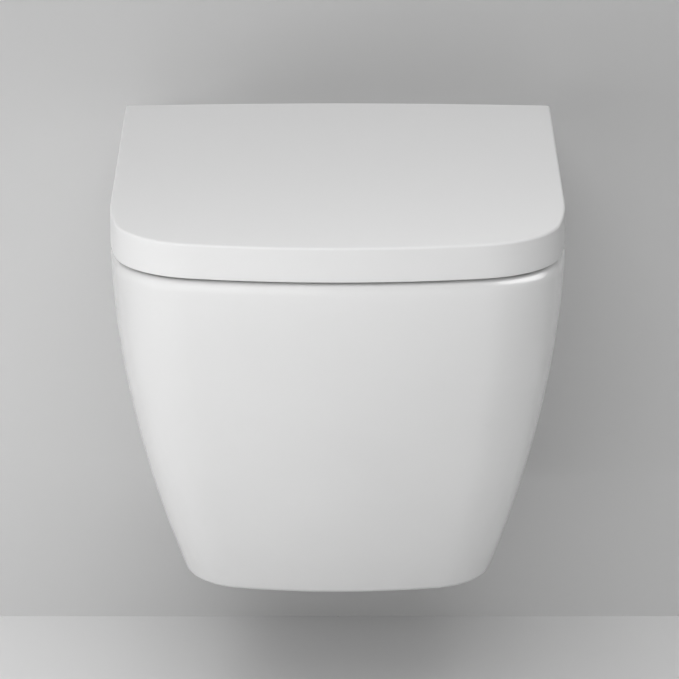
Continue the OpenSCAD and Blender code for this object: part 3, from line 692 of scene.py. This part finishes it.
def ring_inner(grow, z):
    """Edge of the opening, grown by grow, seen from its middle along the same
    directions as the outer edge's points."""
    h = (OPENING_FRONT - OPENING_REAR) / 2 + grow
    r = polar(seat_angles, OPENING_W / 2 + grow, h, 2.3)
    return np.column_stack([r * np.cos(seat_angles), seat_mid + r * np.sin(seat_angles),
                            np.full(len(r), z)])


under_edge = [ring_outer(inset, RING_LOW + height) for height, inset in rounding(1.8, 1.8, 8)]
top_edge = [ring_outer(inset, RING_TOP - depth) for inset, depth in rounding(4.5, 4.5, 8)]
inner_edge = [ring_inner(grow, RING_TOP - 0.5 - depth) for depth, grow in rounding(7.5, 14, 12)]
under_in = [ring_inner(grow, RING_LOW + height) for grow, height in rounding(3, 3, 8)]
seat = skin("seat", (under_edge + top_edge + between(top_edge[-1], inner_edge[0], 8)
                     + inner_edge + under_in + between(under_in[-1], under_edge[0], 8)),
            loop=True)
print("seat section:", len(seat.data.vertices) // len(edge_ring), "points around")

# %% [markdown]
# Three barrels behind the ring take the hinge axles, and the left inner one
# holds the seat's damper. Each sits on a short arm. They are bars with rounded
# ends, joined to the ring, and then bored.

# %% Barrels and arms
def on_hinge(name, r, x0, x1, edge=0.0, n=64):
    """Round bar of radius r on the hinge axis."""
    return prism(name, "x", disc(HINGE_REACH, HINGE_Z, r, n), x0, x1, edge)


arm_side = slab(HINGE_REACH, RING_REAR + 6, HINGE_Z - BARREL_R / 2, RING_TOP - 0.6, 0.6)
for x0, x1 in ((-EAR_OUT, -EAR_IN), (-DAMPER_OUT, -DAMPER_IN), (EAR_IN, EAR_OUT)):
    join(seat, prism("arm", "x", arm_side, x0 + HAIR, x1 - HAIR, 0.6),
         on_hinge("barrel", BARREL_R, x0, x1, 0.8))
peg_hole_r = SEAT_PEG_R + PRESS
for s in SIDES:
    cut(seat, on_hinge("bore", AXLE_D / 2 + RUN, s * (EAR_IN - 1), s * (EAR_OUT + 1)))
    for b in SEAT_PAD_REACH.values():
        cut(seat, turned("peg_hole", "z", s * SEAT_PAD_X, b, [
            (RING_LOW - 1, SEAT_PEG_R + 0.4), (RING_LOW + 0.4, peg_hole_r),
            (RING_LOW + 6.3, peg_hole_r)], 40))
cut(seat, on_hinge("bore", DAMPER_D / 2 + PRESS, -DAMPER_OUT - 1, -DAMPER_IN - DAMPER_FLOOR))
finish(seat, "seat_moulding", "seat", SEAT_WHITE, ["seat_ring"])

# %% [markdown]
# ## The lid
#
# The lid is a thin shell, 3.5 mm thick, with a skirt that wraps over the seat.
# Its top swells by two millimetres in the middle and meets the skirt in a crisp
# two-millimetre rounding, which catches the bright line in the photograph. Its
# rings start under the middle, run out to the skirt, down, round its lower edge
# and back up over the top.

# %% Shell of the lid
LID_MID = -(LID_REAR + PROJECTION) / 2


def rise(x, y):
    """Crown: 2 mm times (1 - (2x/width)^2) times (1 - (share of the reach)^3)."""
    share = np.maximum(0, (-y - LID_REAR) / (PROJECTION - LID_REAR))
    return CROWN * (1 - (2 * x / LID_W) ** 2) * (1 - share ** 3)


def lid_ring(inset, z, k=1.0, crowned=True):
    """Outline of the lid drawn in by inset and shrunk to the share k."""
    ring = outline(LID_W / 2 - inset, PROJECTION - inset, LID_REAR + inset, 1,
                   max(0.8, LID_REAR_R - inset))
    ring = np.stack([k * ring[:, 0], LID_MID + k * (ring[:, 1] - LID_MID)], 1)
    return at(ring, z + (rise(ring[:, 0], ring[:, 1]) if crowned else 0.0))


def skirt(insets_and_heights):
    """Rings of the skirt, which don't follow the crown."""
    return [lid_ring(inset, z, crowned=False) for inset, z in insets_and_heights]


COVE_R = 4
shares_out = [0.02, 0.1, 0.2, 0.3, 0.4, 0.5, 0.6, 0.7, 0.8, 0.88, 0.94, 0.975]
bead = rounding(0.6, 0.6, 4)
ceiling = [lid_ring(LID_T + COVE_R, LID_UNDER, k) for k in shares_out + [1.0]]
cove = [lid_ring(LID_T + inset, LID_UNDER - depth)
        for depth, inset in rounding(COVE_R, COVE_R, 7)[1:]]
inner_wall = skirt([(LID_T, z) for z in np.linspace(LID_UNDER - 4.5, LID_LOW + 1, 6)])
lower_edge = skirt([(LID_T - inset, LID_LOW + height) for inset, height in bead]
                   + [(inset, LID_LOW + height) for inset, height in bead[::-1]])
outer_wall = skirt([(0, z) for z in
                    np.linspace(LID_LOW + 1, LID_TOP - LID_EDGE_R - 0.5, 8)[1:]])
top_round = [lid_ring(inset, LID_TOP - depth)
             for inset, depth in rounding(LID_EDGE_R, LID_EDGE_R, 9)]
crest = [lid_ring(LID_EDGE_R, LID_TOP, k) for k in reversed(shares_out)]
lid = skin("lid", ceiling + cove + inner_wall + lower_edge + outer_wall + top_round + crest)
print("lid skin:", len(lid.data.polygons), "faces")

# %% [markdown]
# The lid's rear wall would hit the pan when the lid opens. It ends in a curve
# about the hinge axis, and has a notch at each hinge block. Lugs with bores
# hang from the ceiling on both sides, and a longer barrel holds the damper.

# %% Rear wall, lugs and bosses
trim = prism("trim", "x", slab(LID_REAR - 1, HINGE_REACH, LID_LOW - 1, HINGE_Z, 0.01, 2),
             -LID_W, LID_W)
cut(trim, on_hinge("swing", HINGE_BACK, -LID_W - 1, LID_W + 1, n=128))
cut(lid, trim)
notch_side = slab(LID_REAR - 1, HINGE_REACH - 2, LID_LOW - 1, LID_UNDER + 0.5, 1.0)
for s in SIDES:
    cut(lid, prism("notch", "x", notch_side, s * (BLOCK_IN - 1), s * (BLOCK_OUT + 1)))
web_side = slab(HINGE_REACH - BARREL_R, HINGE_REACH + BARREL_R, HINGE_Z, LID_UNDER + 3, 0.3, 3)
for x0, x1 in ((-LUG_OUT, -LUG_IN), (DAMPER_IN, DAMPER_OUT), (LUG_IN, LUG_OUT)):
    join(lid, prism("web", "x", web_side, x0 + HAIR, x1 - HAIR, 0.8),
         on_hinge("barrel", BARREL_R, x0, x1, 0.8))
for s in SIDES:
    spot = (s * LID_PAD_X, LID_PAD_REACH)
    join(lid, turned("boss", "z", *spot, [
        (LID_PAD_Z, 8.4), (LID_PAD_Z + 0.2, 8.8), (LID_PAD_Z + 0.6, 9),
        (LID_UNDER + 1.5, 9.2)]))
    cut(lid, turned("peg_hole", "z", *spot, [
        (LID_PAD_Z - 1, LID_PEG_R + PRESS), (LID_PAD_Z + 2.5, LID_PEG_R + PRESS)], 32))
    cut(lid, on_hinge("bore", AXLE_D / 2 + RUN, s * (LUG_IN - 1), s * (LUG_OUT - 1)))
cut(lid, on_hinge("bore", DAMPER_D / 2 + PRESS, DAMPER_IN + DAMPER_FLOOR, DAMPER_OUT + 1))
finish(lid, "lid_shell", "lid", SEAT_WHITE, ["lid"])

# %% [markdown]
# ## Hinge blocks, posts and release buttons
#
# Each hinge block drops over a steel post. Its side view is a round barrel on a
# square foot, so one keyhole profile is carried along the axle. A button at the
# front slides a thin latch out of the post's groove, and the seat lifts off.

# %% Hinge blocks
def keyhole():
    """Side view of the block: the upper half of the barrel's circle, then down
    to a foot with small round corners."""
    low_z = POST_LOW + 0.2
    front_b, back_b, r = HINGE_REACH + 8, HINGE_REACH - 6.5, 1.0
    circle = arc((HINGE_REACH, HINGE_Z), BARREL_R, 0, 180, 33, closed=True)
    neck = [[HINGE_REACH - BARREL_R * 0.96, HINGE_Z - 2.4], [back_b, HINGE_Z - 5.2]]
    left = arc((back_b + r, low_z + r), r, 180, 270, 5, closed=True)
    right = arc((front_b - r, low_z + r), r, 270, 360, 5, closed=True)
    throat = [[front_b, HINGE_Z - 4.0], [front_b + 0.15, HINGE_Z - 1.5]]
    return np.vstack([circle, neck, left, right, throat])


latch_mid = LATCH_Z + LATCH_T / 2
for s, side in HANDS:
    x = s * FIXING_X
    block = prism("block", "x", keyhole(), s * BLOCK_IN, s * BLOCK_OUT, 0.7)
    cut(block,
        on_hinge("bore", AXLE_D / 2 + PRESS, s * (BLOCK_IN - 1), s * (BLOCK_OUT + 1)),
        turned("socket", "z", x, HINGE_REACH, [
            (POST_LOW - 1, POST_D / 2 + 0.6), (POST_LOW + 0.6, POST_D / 2 + RUN),
            (POST_TOP + 0.5, POST_D / 2 + RUN)], 48),
        prism("slot", "z", slab(x - 7.2, x + 7.2, HINGE_REACH - 7.5, HINGE_REACH + 9, 0.5),
              LATCH_Z - 0.1, LATCH_Z + LATCH_T + 0.1),
        prism("recess", "y", disc(x, latch_mid, BUTTON_D / 2 + RUN, 40),
              HINGE_REACH + 5.2, HINGE_REACH + 9))
    finish(block, f"hinge_block_shell_{side}", "hinge_set", SEAT_WHITE,
           [f"hinge_block_{side}"])

# %% Latches with their buttons
rest, rear = HINGE_REACH + 7.4, HINGE_REACH - LATCH_GROOVE_R - 0.2
eye_r = POST_D / 2 + 0.1
for s, side in HANDS:
    x = s * FIXING_X
    latch = prism("latch", "z", slab(x - 7, x + 7, rear - 1.2, rest + 1, 0.8), LATCH_Z,
                  LATCH_Z + LATCH_T, 0.15, 2)
    cut(latch, prism("eye", "z", slab(x - eye_r, x + eye_r, rear, rear + 2 * eye_r + 2,
                                      eye_r - 0.01, 24), LATCH_Z - 1, LATCH_Z + LATCH_T + 1))
    join(latch, turned("knob", "y", x, latch_mid, (
        [(rest, BUTTON_D / 2)] + fillet(rest + 3.1, BUTTON_D / 2, 0.6, -0.6)
        + [(rest + 3.85, 1.6), (rest + 3.95, 0.8), (rest + 4, 0)]), 48))
    finish(latch, f"release_latch_{side}", f"release_button_{side}", GREY,
           [f"release_button_{side}"])

# %% [markdown]
# The posts are turned from stainless steel in one piece with a thin cover plate,
# which hides the hole in the ceramic. Turned parts are profiles spun about their
# axis, so a list of positions and radii is all that they need.

# %% Posts and cover plates
bolt_hole_r = BOLT_D / 2 + PRESS
groove = (LATCH_Z - 0.3, LATCH_Z + LATCH_T + 0.3)
for s, side in HANDS:
    post = turned("post", "z", s * FIXING_X, HINGE_REACH, (
        [(PLATE_Z, PLATE_D / 2 - 0.3), (PLATE_Z + 0.3, PLATE_D / 2)]
        + fillet(PLATE_Z + 1.1, PLATE_D / 2, 0.9, -1.4)
        + [(POST_LOW, 12), (POST_LOW, 5.2), (POST_LOW + 0.25, 4.4), (POST_LOW + 0.9, 4),
           (groove[0], 4), (groove[0], LATCH_GROOVE_R), (groove[1], LATCH_GROOVE_R),
           (groove[1], 4)]
        + fillet(POST_TOP - 1.2, 4, 1.2, -1.2)), 96)
    cut(post, turned("bore", "z", s * FIXING_X, HINGE_REACH, [
        (PLATE_Z - 1, bolt_hole_r), (POST_LOW - 0.5, bolt_hole_r)], 32))
    finish(post, f"seat_post_{side}", "fixed", STEEL, [f"hinge_plate_{side}"])

# %% [markdown]
# ## Fixings
#
# Below the deck a threaded rod pulls a cone into a rubber plug, which grips the
# hole. In the wall, steel angles on the two studs take a screw through each side
# of the pan, and a small white cap closes each screw's recess. The thread is a
# zigzag profile spun about the axis: rings instead of a helix look the same at
# this size and keep the mesh closed and light.

# %% Threads
def thread(start, end, r, pitch, depth):
    """Zigzag between the radii r and r - depth, one tooth for each pitch."""
    teeth = int((end - start) / pitch)
    w = start + (end - start) * np.arange(2 * teeth + 1) / (2 * teeth)
    return list(zip(w, np.where(np.arange(len(w)) % 2, r, r - depth)))


seat_x = side_face - RECESS
for s, side in HANDS:
    rod = turned("rod", "z", s * FIXING_X, HINGE_REACH,
                 thread(RIM_Z - 39, POST_LOW - 0.5, BOLT_D / 2, 1.0, 0.35), 40)
    finish(rod, f"fixing_rod_{side}", "fixed", ZINC, [f"fixing_bolt_{side}"])
    screw = turned("screw", "x", SCREW_REACH, 0,
                   thread(STUD_X + 6, seat_x + 1, SCREW_D / 2, 1.25, 0.4), 40, s)
    join(screw, turned("head", "x", SCREW_REACH, 0, [
        (seat_x, 6.5), (seat_x + 3.6, 6.5), (seat_x + 4.5, 5.4)], 48, s))
    cut(screw, prism("socket", "x", disc(SCREW_REACH, 0, 3, 6), s * (seat_x + 2),
                     s * (seat_x + 7)))
    finish(screw, f"clamp_screw_{side}", "fixed", ZINC, [f"side_screw_{side}"])

# %% Plugs, cones and caps
ribs = [(w, 6.9 if k % 4 < 3 else 6.4)
        for k, w in enumerate(np.linspace(RIM_Z - 27, RIM_Z - 0.3, 25))]
face = side_face - 0.2
for s, side in HANDS:
    spot = (s * FIXING_X, HINGE_REACH)
    plug = turned("plug", "z", *spot, ribs, 40)
    cut(plug, turned("bore", "z", *spot, [
        (RIM_Z - 28, bolt_hole_r), (RIM_Z + 1, bolt_hole_r)], 32))
    finish(plug, f"rubber_plug_{side}", "fixed", SEAL, [f"expansion_plug_{side}"])
    cone = turned("cone", "z", *spot, [
        (RIM_Z - 37, 6.3), (RIM_Z - 36.5, 6.75), (RIM_Z - 27.5, 5.1), (RIM_Z - 27.05, 4.6)], 40)
    cut(cone, turned("bore", "z", *spot, [
        (RIM_Z - 38, bolt_hole_r), (RIM_Z - 26, bolt_hole_r)], 32))
    finish(cone, f"clamp_cone_{side}", "fixed", ZINC, [f"cone_nut_{side}"])
    cap = turned("cap", "x", SCREW_REACH, 0, [
        (face - 3, 7.7), (face - 2.8, 7.9), (face - 0.7, 7.9), (face - 0.35, 7.7),
        (face - 0.15, 7.1), (face - 0.05, 4), (face, 0)], 64, s)
    finish(cap, f"screw_cap_{side}", "fixed", SEAT_WHITE, [f"side_cap_{side}"])

# %% [markdown]
# The wall angles are pressed from plated steel: a plate against the wall, an arm
# that reaches forward inside the pan, and a lip below that stiffens the corner.

# %% Wall angles, washers and nuts
half_b = BRACKET_W / 2
low, high = BRACKET_T + WASHER_T, BRACKET_T + WASHER_T + NUT_T
for s, side in HANDS:
    arm = (s * (STUD_X + 14), s * (STUD_X + half_b))
    angle = prism("plate", "y", slab(s * (STUD_X - half_b), arm[1], -half_b, half_b, 3), 0,
                  BRACKET_T, 1.0)
    join(angle,
         prism("arm", "x", slab(HAIR, SCREW_REACH + 16, -15, 15, 5), arm[0] + s * HAIR,
               arm[1] - s * HAIR, 1.2),
         prism("lip", "z", slab(s * (STUD_X - half_b + 0.03), s * (STUD_X + half_b - 0.03), 0.03,
                                30, 3), -half_b + HAIR, -19, 0.8))
    cut(angle,
        prism("stud_hole", "y", disc(s * STUD_X, 0, STUD_HOLE_D / 2), -1, BRACKET_T + 1),
        prism("screw_hole", "x", disc(SCREW_REACH, 0, SCREW_D / 2 + RUN), arm[0] - s,
              arm[1] + s))
    finish(angle, f"wall_angle_{side}", "fixed", ZINC, [f"wall_bracket_{side}"])
    washer = prism("washer", "y", disc(s * STUD_X, 0, 12), BRACKET_T, low, 0.5)
    cut(washer, prism("hole", "y", disc(s * STUD_X, 0, STUD_HOLE_D / 2), BRACKET_T - 1,
                      BRACKET_T + 4))
    finish(washer, f"washer_{side}", "fixed", ZINC, [f"wall_washer_{side}"])
    nut = prism("nut", "y", disc(s * STUD_X, 0, 10.9, 6), low, high)
    combine("INTERSECT", nut, turned("chamfer", "y", s * STUD_X, 0, [
        (low - 0.1, 9.6), (low + 1.1, 11.2), (high - 1.1, 11.2), (high + 0.1, 9.6)], 72))
    cut(nut, turned("thread", "y", s * STUD_X, 0, [
        (w, 6.1 if k % 2 else 6.6) for k, w in enumerate(np.linspace(low - 1, high + 1, 15))],
        48))
    finish(nut, f"stud_nut_{side}", "fixed", ZINC, [f"wall_nut_{side}"])

# %% [markdown]
# ## Buffers
#
# Soft pale pads keep plastic off ceramic. Each has a peg that is pressed into a
# hole and a head with a domed face and a rounded rim.

# %% Pads under the seat and the lid
def pad(name, x, b, low, high, r, peg_r, peg, body, node):
    """Domed head between low and high with a peg above, spun about a vertical axis."""
    head = ([(low, 0), (low + 0.02, 0.45 * r), (low + 0.12, 0.75 * r), (low + 0.5, 0.93 * r),
             (low + 1.1, r)] + fillet(high - 0.5, r, 0.5, -0.5, 3)
            + [(high, peg_r), (high + peg - 0.5, peg_r), (high + peg, peg_r - 0.5)])
    finish(turned(name, "z", x, b, head, 48), name, body, BUFFER, [node])


for s, side in HANDS:
    for row, b in SEAT_PAD_REACH.items():
        pad(f"seat_pad_{row}_{side}", s * SEAT_PAD_X, b, RIM_Z + REST_GAP, RING_LOW, 9,
            SEAT_PEG_R, 6, "seat", f"seat_buffer_{row}_{side}")
    pad(f"lid_pad_{side}", s * LID_PAD_X, LID_PAD_REACH, RING_TOP + REST_GAP, LID_PAD_Z, 7,
        LID_PEG_R, 2.3, "lid", f"lid_buffer_{side}")

# %% [markdown]
# ## Flush distributor
#
# Behind the bowl a grey plastic insert closes the flush channel and spreads the
# water to both sides. It is a turned sleeve with a rounded flange, and slots
# behind the flange let the water out sideways.

# %% Sleeve, flange and slots
back, face = INLET_LEN + 60, BOWL_REAR + 12
tube_r = CHANNEL_D / 2 - 0.3
spreader = turned("spreader", "y", 0, INLET_Z, (
    [(back, tube_r - 0.6), (back + 0.6, tube_r), (face, tube_r), (face, tube_r + 7),
     (face + 0.4, tube_r + 7.7), (face + 1.2, tube_r + 8)]
    + fillet(face + 2.6, tube_r + 8, 2.0, -3.0)
    + [(face + 4.8, tube_r - 2), (face + 5, 8)]), 96)
cut(spreader,
    turned("bore", "y", 0, INLET_Z, [(back - 1, tube_r - 3), (face, tube_r - 3)], 80),
    prism("slot", "x", slab(face - 7, face - 1, INLET_Z - 8, INLET_Z + 12, 2.2), -40, 40))
finish(spreader, "flush_spreader", "fixed", GREY, ["flush_distributor"])

# %% [markdown]
# ## Nodes that stay as they are
#
# Axles, damper cylinders and gaskets are plain turned parts in the CAD already,
# and little of them shows, so they only take a finish.

# %% Finish the carried-over nodes
plain = {"hinge_axle_left": STEEL, "hinge_axle_right": STEEL, "seat_damper": DARK,
         "lid_damper": DARK, "plate_gasket_left": SEAL, "plate_gasket_right": SEAL}
for name, material in plain.items():
    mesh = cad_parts[name].data
    mesh.materials.clear()
    mesh.materials.append(material)
shown = [n for n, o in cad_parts.items() if not o.hide_render]
print("CAD nodes still shown:", sorted(shown))

# %% [markdown]
# ## Room
#
# A pale floor and a pale wall stand in for the bathroom. Both are see-through
# from behind, and the wall has an opening just inside the pan's rear edge, as a
# real wall has one for the pipes. So the back can be looked at, and light
# reaches it. A strip of quads between the opening and a far outline makes the
# wall, and one round a tiny hole at the wall's foot makes the floor.

# %% Floor and wall
def room_material(name, tone):
    """Diffuse from the front, transparent from behind."""
    material, tree, shader = new_material(name, {
        "Base Color": (tone, tone, tone, 1), "Roughness": 0.9, "Specular IOR Level": 0.1})
    facing = add(tree, "ShaderNodeNewGeometry")
    clear = add(tree, "ShaderNodeBsdfTransparent")
    choose = add(tree, "ShaderNodeMixShader")
    wire(tree, (facing, "Backfacing", choose, "Fac"), (shader, "BSDF", choose, 1),
         (clear, "BSDF", choose, 2), (choose, "Shader", tree.nodes["Material Output"], "Surface"))
    return material


def sheet(name, outer, inner, facing, material):
    """Flat strip of quads between two closed rings of the same number of points.
    Its front side looks along the vector facing."""
    n = len(outer)
    i, j = np.arange(n), (np.arange(n) + 1) % n
    faces = np.stack([i, j, n + j, n + i], 1)
    if np.cross(outer[1] - outer[0], inner[0] - outer[0]) @ np.array(facing) < 0:
        faces = faces[:, ::-1]
    made = linked(name, np.vstack([outer, inner]), faces.tolist())
    made.data.materials.append(material)
    made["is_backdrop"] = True


# %% The wall's opening follows the pan's rear edge
FLOOR_Z, WALL_Y, FAR, UNDER_EDGE = -377.9, 0.6, 4000.0, 0.8
rear_edge = np.array([[ring[:, 0].max(), ring[0, 2]] for ring in outer_rings])
opening = shrink(np.vstack([rear_edge, rear_edge[::-1] * [-1, 1]]), UNDER_EDGE)
middle = opening.mean(0)
ray = opening - middle
wall_edge = middle + ray * (FAR / np.maximum(np.abs(ray), 1e-6)).min(1, keepdims=True)
wall_edge[:, 1] = np.maximum(wall_edge[:, 1], FLOOR_Z)
sheet("room_wall", place("y", wall_edge, -WALL_Y), place("y", opening, -WALL_Y), (0, -1, 0),
      room_material("wall_paint", 0.66))
corners = np.array([[-1, -1], [1, -1], [1, 1], [-1, 1]], float)
sheet("room_floor", at(corners * FAR, FLOOR_Z), at(corners, FLOOR_Z), (0, 0, 1),
      room_material("floor_paint", 0.76))
print("floor at", FLOOR_Z, "mm, wall at y", WALL_Y, "mm")

# %% [markdown]
# ## Light
#
# The photograph's light is soft, strongest overhead and on the left. The pan's
# lower front is nearly as bright as its top although it looks down, while the
# wall beneath it lies in shade, so much of that light comes up from the floor.
# Two broad lamps hang over the floor in front of the pan, the floor throws their
# light up, and the sky adds the rest from above. The sky is made in the world's
# nodes, because a smooth dome gives softer shadows than any lamp. The camera and
# reflections see a plain pale tone in its place, which shows past the floor.

# %% A sky that is brightest overhead
def make_sky(overhead, middle, backdrop):
    """World whose strength is overhead times (direction . middle) to the sixth
    power, where middle points at its brightest place. Where the camera or a
    reflection looks past the room, it sees the even tone backdrop instead."""
    world = bpy.data.worlds.new("studio_sky")
    world.use_nodes = True
    tree = world.node_tree
    sky = preset(tree.nodes["Background"], {"Color": (1, 1, 1, 1)})
    where = add(tree, "ShaderNodeTexCoord")
    facing = add(tree, "ShaderNodeVectorMath", {1: Vector(middle).normalized()},
                 operation="DOT_PRODUCT")
    above = add(tree, "ShaderNodeMath", {1: 0.0}, operation="MAXIMUM")
    narrow = add(tree, "ShaderNodeMath", {1: 6.0}, operation="POWER")
    level = add(tree, "ShaderNodeMath", {1: overhead}, operation="MULTIPLY")
    plain = add(tree, "ShaderNodeBackground", {"Color": (backdrop, backdrop, backdrop, 1)})
    path = add(tree, "ShaderNodeLightPath")
    direct = add(tree, "ShaderNodeMath", operation="MAXIMUM")
    seen = add(tree, "ShaderNodeMath", operation="MAXIMUM")
    choose = add(tree, "ShaderNodeMixShader")
    wire(tree, (where, "Generated", facing, 0), (facing, "Value", above, 0),
         (above, "Value", narrow, 0), (narrow, "Value", level, 0),
         (level, "Value", sky, "Strength"), (path, "Is Camera Ray", direct, 0),
         (path, "Is Transmission Ray", direct, 1), (direct, "Value", seen, 0),
         (path, "Is Glossy Ray", seen, 1), (seen, "Value", choose, "Fac"),
         (sky, "Background", choose, 1), (plain, "Background", choose, 2),
         (choose, "Shader", tree.nodes["World Output"], "Surface"))
    return world


bpy.context.scene.world = make_sky(2.1, (-0.2, 0, 0.98), 0.6)

# %% [markdown]
# A low lamp on the left brightens the pan's left side, and two in front fill in
# its upper part. They have grids, so that they light the pan and not the floor,
# and the two over the floor have grids that keep them off the wall. A strip high
# on the right lights the rim's corner there, and a lamp behind the wall serves
# the views from there. One more lamp is only seen as a reflection, the bright
# line on the right corner of the rim. The left lamp and the two over the floor
# are never seen as reflections, because the photograph shows none of them.

# %% Softboxes
def softbox(name, where, target, size, power, roll=0.0, spread=180):
    """Area lamp from where towards the target. Its size is (width, height) in
    metres, roll turns it about its own direction by degrees, and a spread below
    180 degrees acts as a grid in front of it that narrows its beam."""
    lamp = bpy.data.lights.new(name, "AREA")
    lamp.shape, lamp.energy, lamp.spread = "RECTANGLE", power, math.radians(spread)
    lamp.size, lamp.size_y = size
    made = bpy.data.objects.new(name, lamp)
    bpy.context.scene.collection.objects.link(made)
    made.location = where
    aim = (Vector(target) - Vector(where)).to_track_quat("-Z", "Y")
    made.rotation_euler = (aim @ Quaternion((0, 0, 1), math.radians(roll))).to_euler()
    print(f"{name}: {power} W, {size[0]} x {size[1]} m")
    return made


RIM_CORNER = (0.14, -0.5, 0.08)
side_left = softbox("side_left", (-1.2, -0.9, -0.12), (0, -0.2, -0.08), (0.6, 0.6), 1.6,
                    spread=100)
softbox("front_left", (-0.5, -1.8, 0.12), (0, -0.35, 0), (1.0, 1.0), 0.95, spread=100)
softbox("front_high", (0.2, -1.8, 1.0), (0, -0.35, 0), (1.2, 1.2), 1.4, spread=100)
over_floor = softbox("over_floor", (0, -2.0, 1.9), (0, -1.9, -0.378), (2.4, 2.4), 9.5, spread=110)
over_left = softbox("over_left", (-0.5, -2.6, 1.6), (-0.4, -2.0, -0.378), (2.0, 2.0), 10.0,
                    spread=110)
softbox("right_strip", (1.03, -0.62, 0.74), RIM_CORNER, (1.25, 0.3), 0.9, roll=-22)
softbox("behind_wall", (0.9, 1.8, 0.5), (0, 0, -0.1), (1.2, 1.2), 6.0)
gleam = softbox("right_gleam", (1.07, -0.77, 0.46), RIM_CORNER, (1.5, 0.6), 11, roll=-13)
gleam.visible_diffuse = False
for lamp in (side_left, over_floor, over_left):
    lamp.visible_glossy = False

# %% [markdown]
# ## Camera
#
# The lid's outline, the floor line and the pan's outline in the photograph fit a
# camera 4.5 m in front of the wall and 1.58 m above the floor, which looks down
# by 16.3 degrees through a long lens. With a lens that long the sides of the lid
# hardly converge, as in the photograph.

# %% Long lens from the front
FOCAL_PIXELS, PHOTO_PIXELS, SENSOR_MM = 5374.1, 679, 36.0
camera = bpy.data.objects.new("camera", bpy.data.cameras.new("camera"))
bpy.context.scene.collection.objects.link(camera)
camera.data.sensor_fit, camera.data.sensor_width = "HORIZONTAL", SENSOR_MM
camera.data.lens = FOCAL_PIXELS / PHOTO_PIXELS * SENSOR_MM
camera.data.clip_end = 50
camera.location = (0.0015, -4.5153, 1.2013)
camera.rotation_euler = (math.radians(90 - 16.329), 0, 0)
bpy.context.scene.camera = camera
bpy.context.scene.view_settings.view_transform = "Standard"
print(f"lens {camera.data.lens:.1f} mm")

# %% Print the dressed box's size
low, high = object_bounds()
print("dressed box in mm:", [round(1000 * v, 1) for v in (*low, *high)])
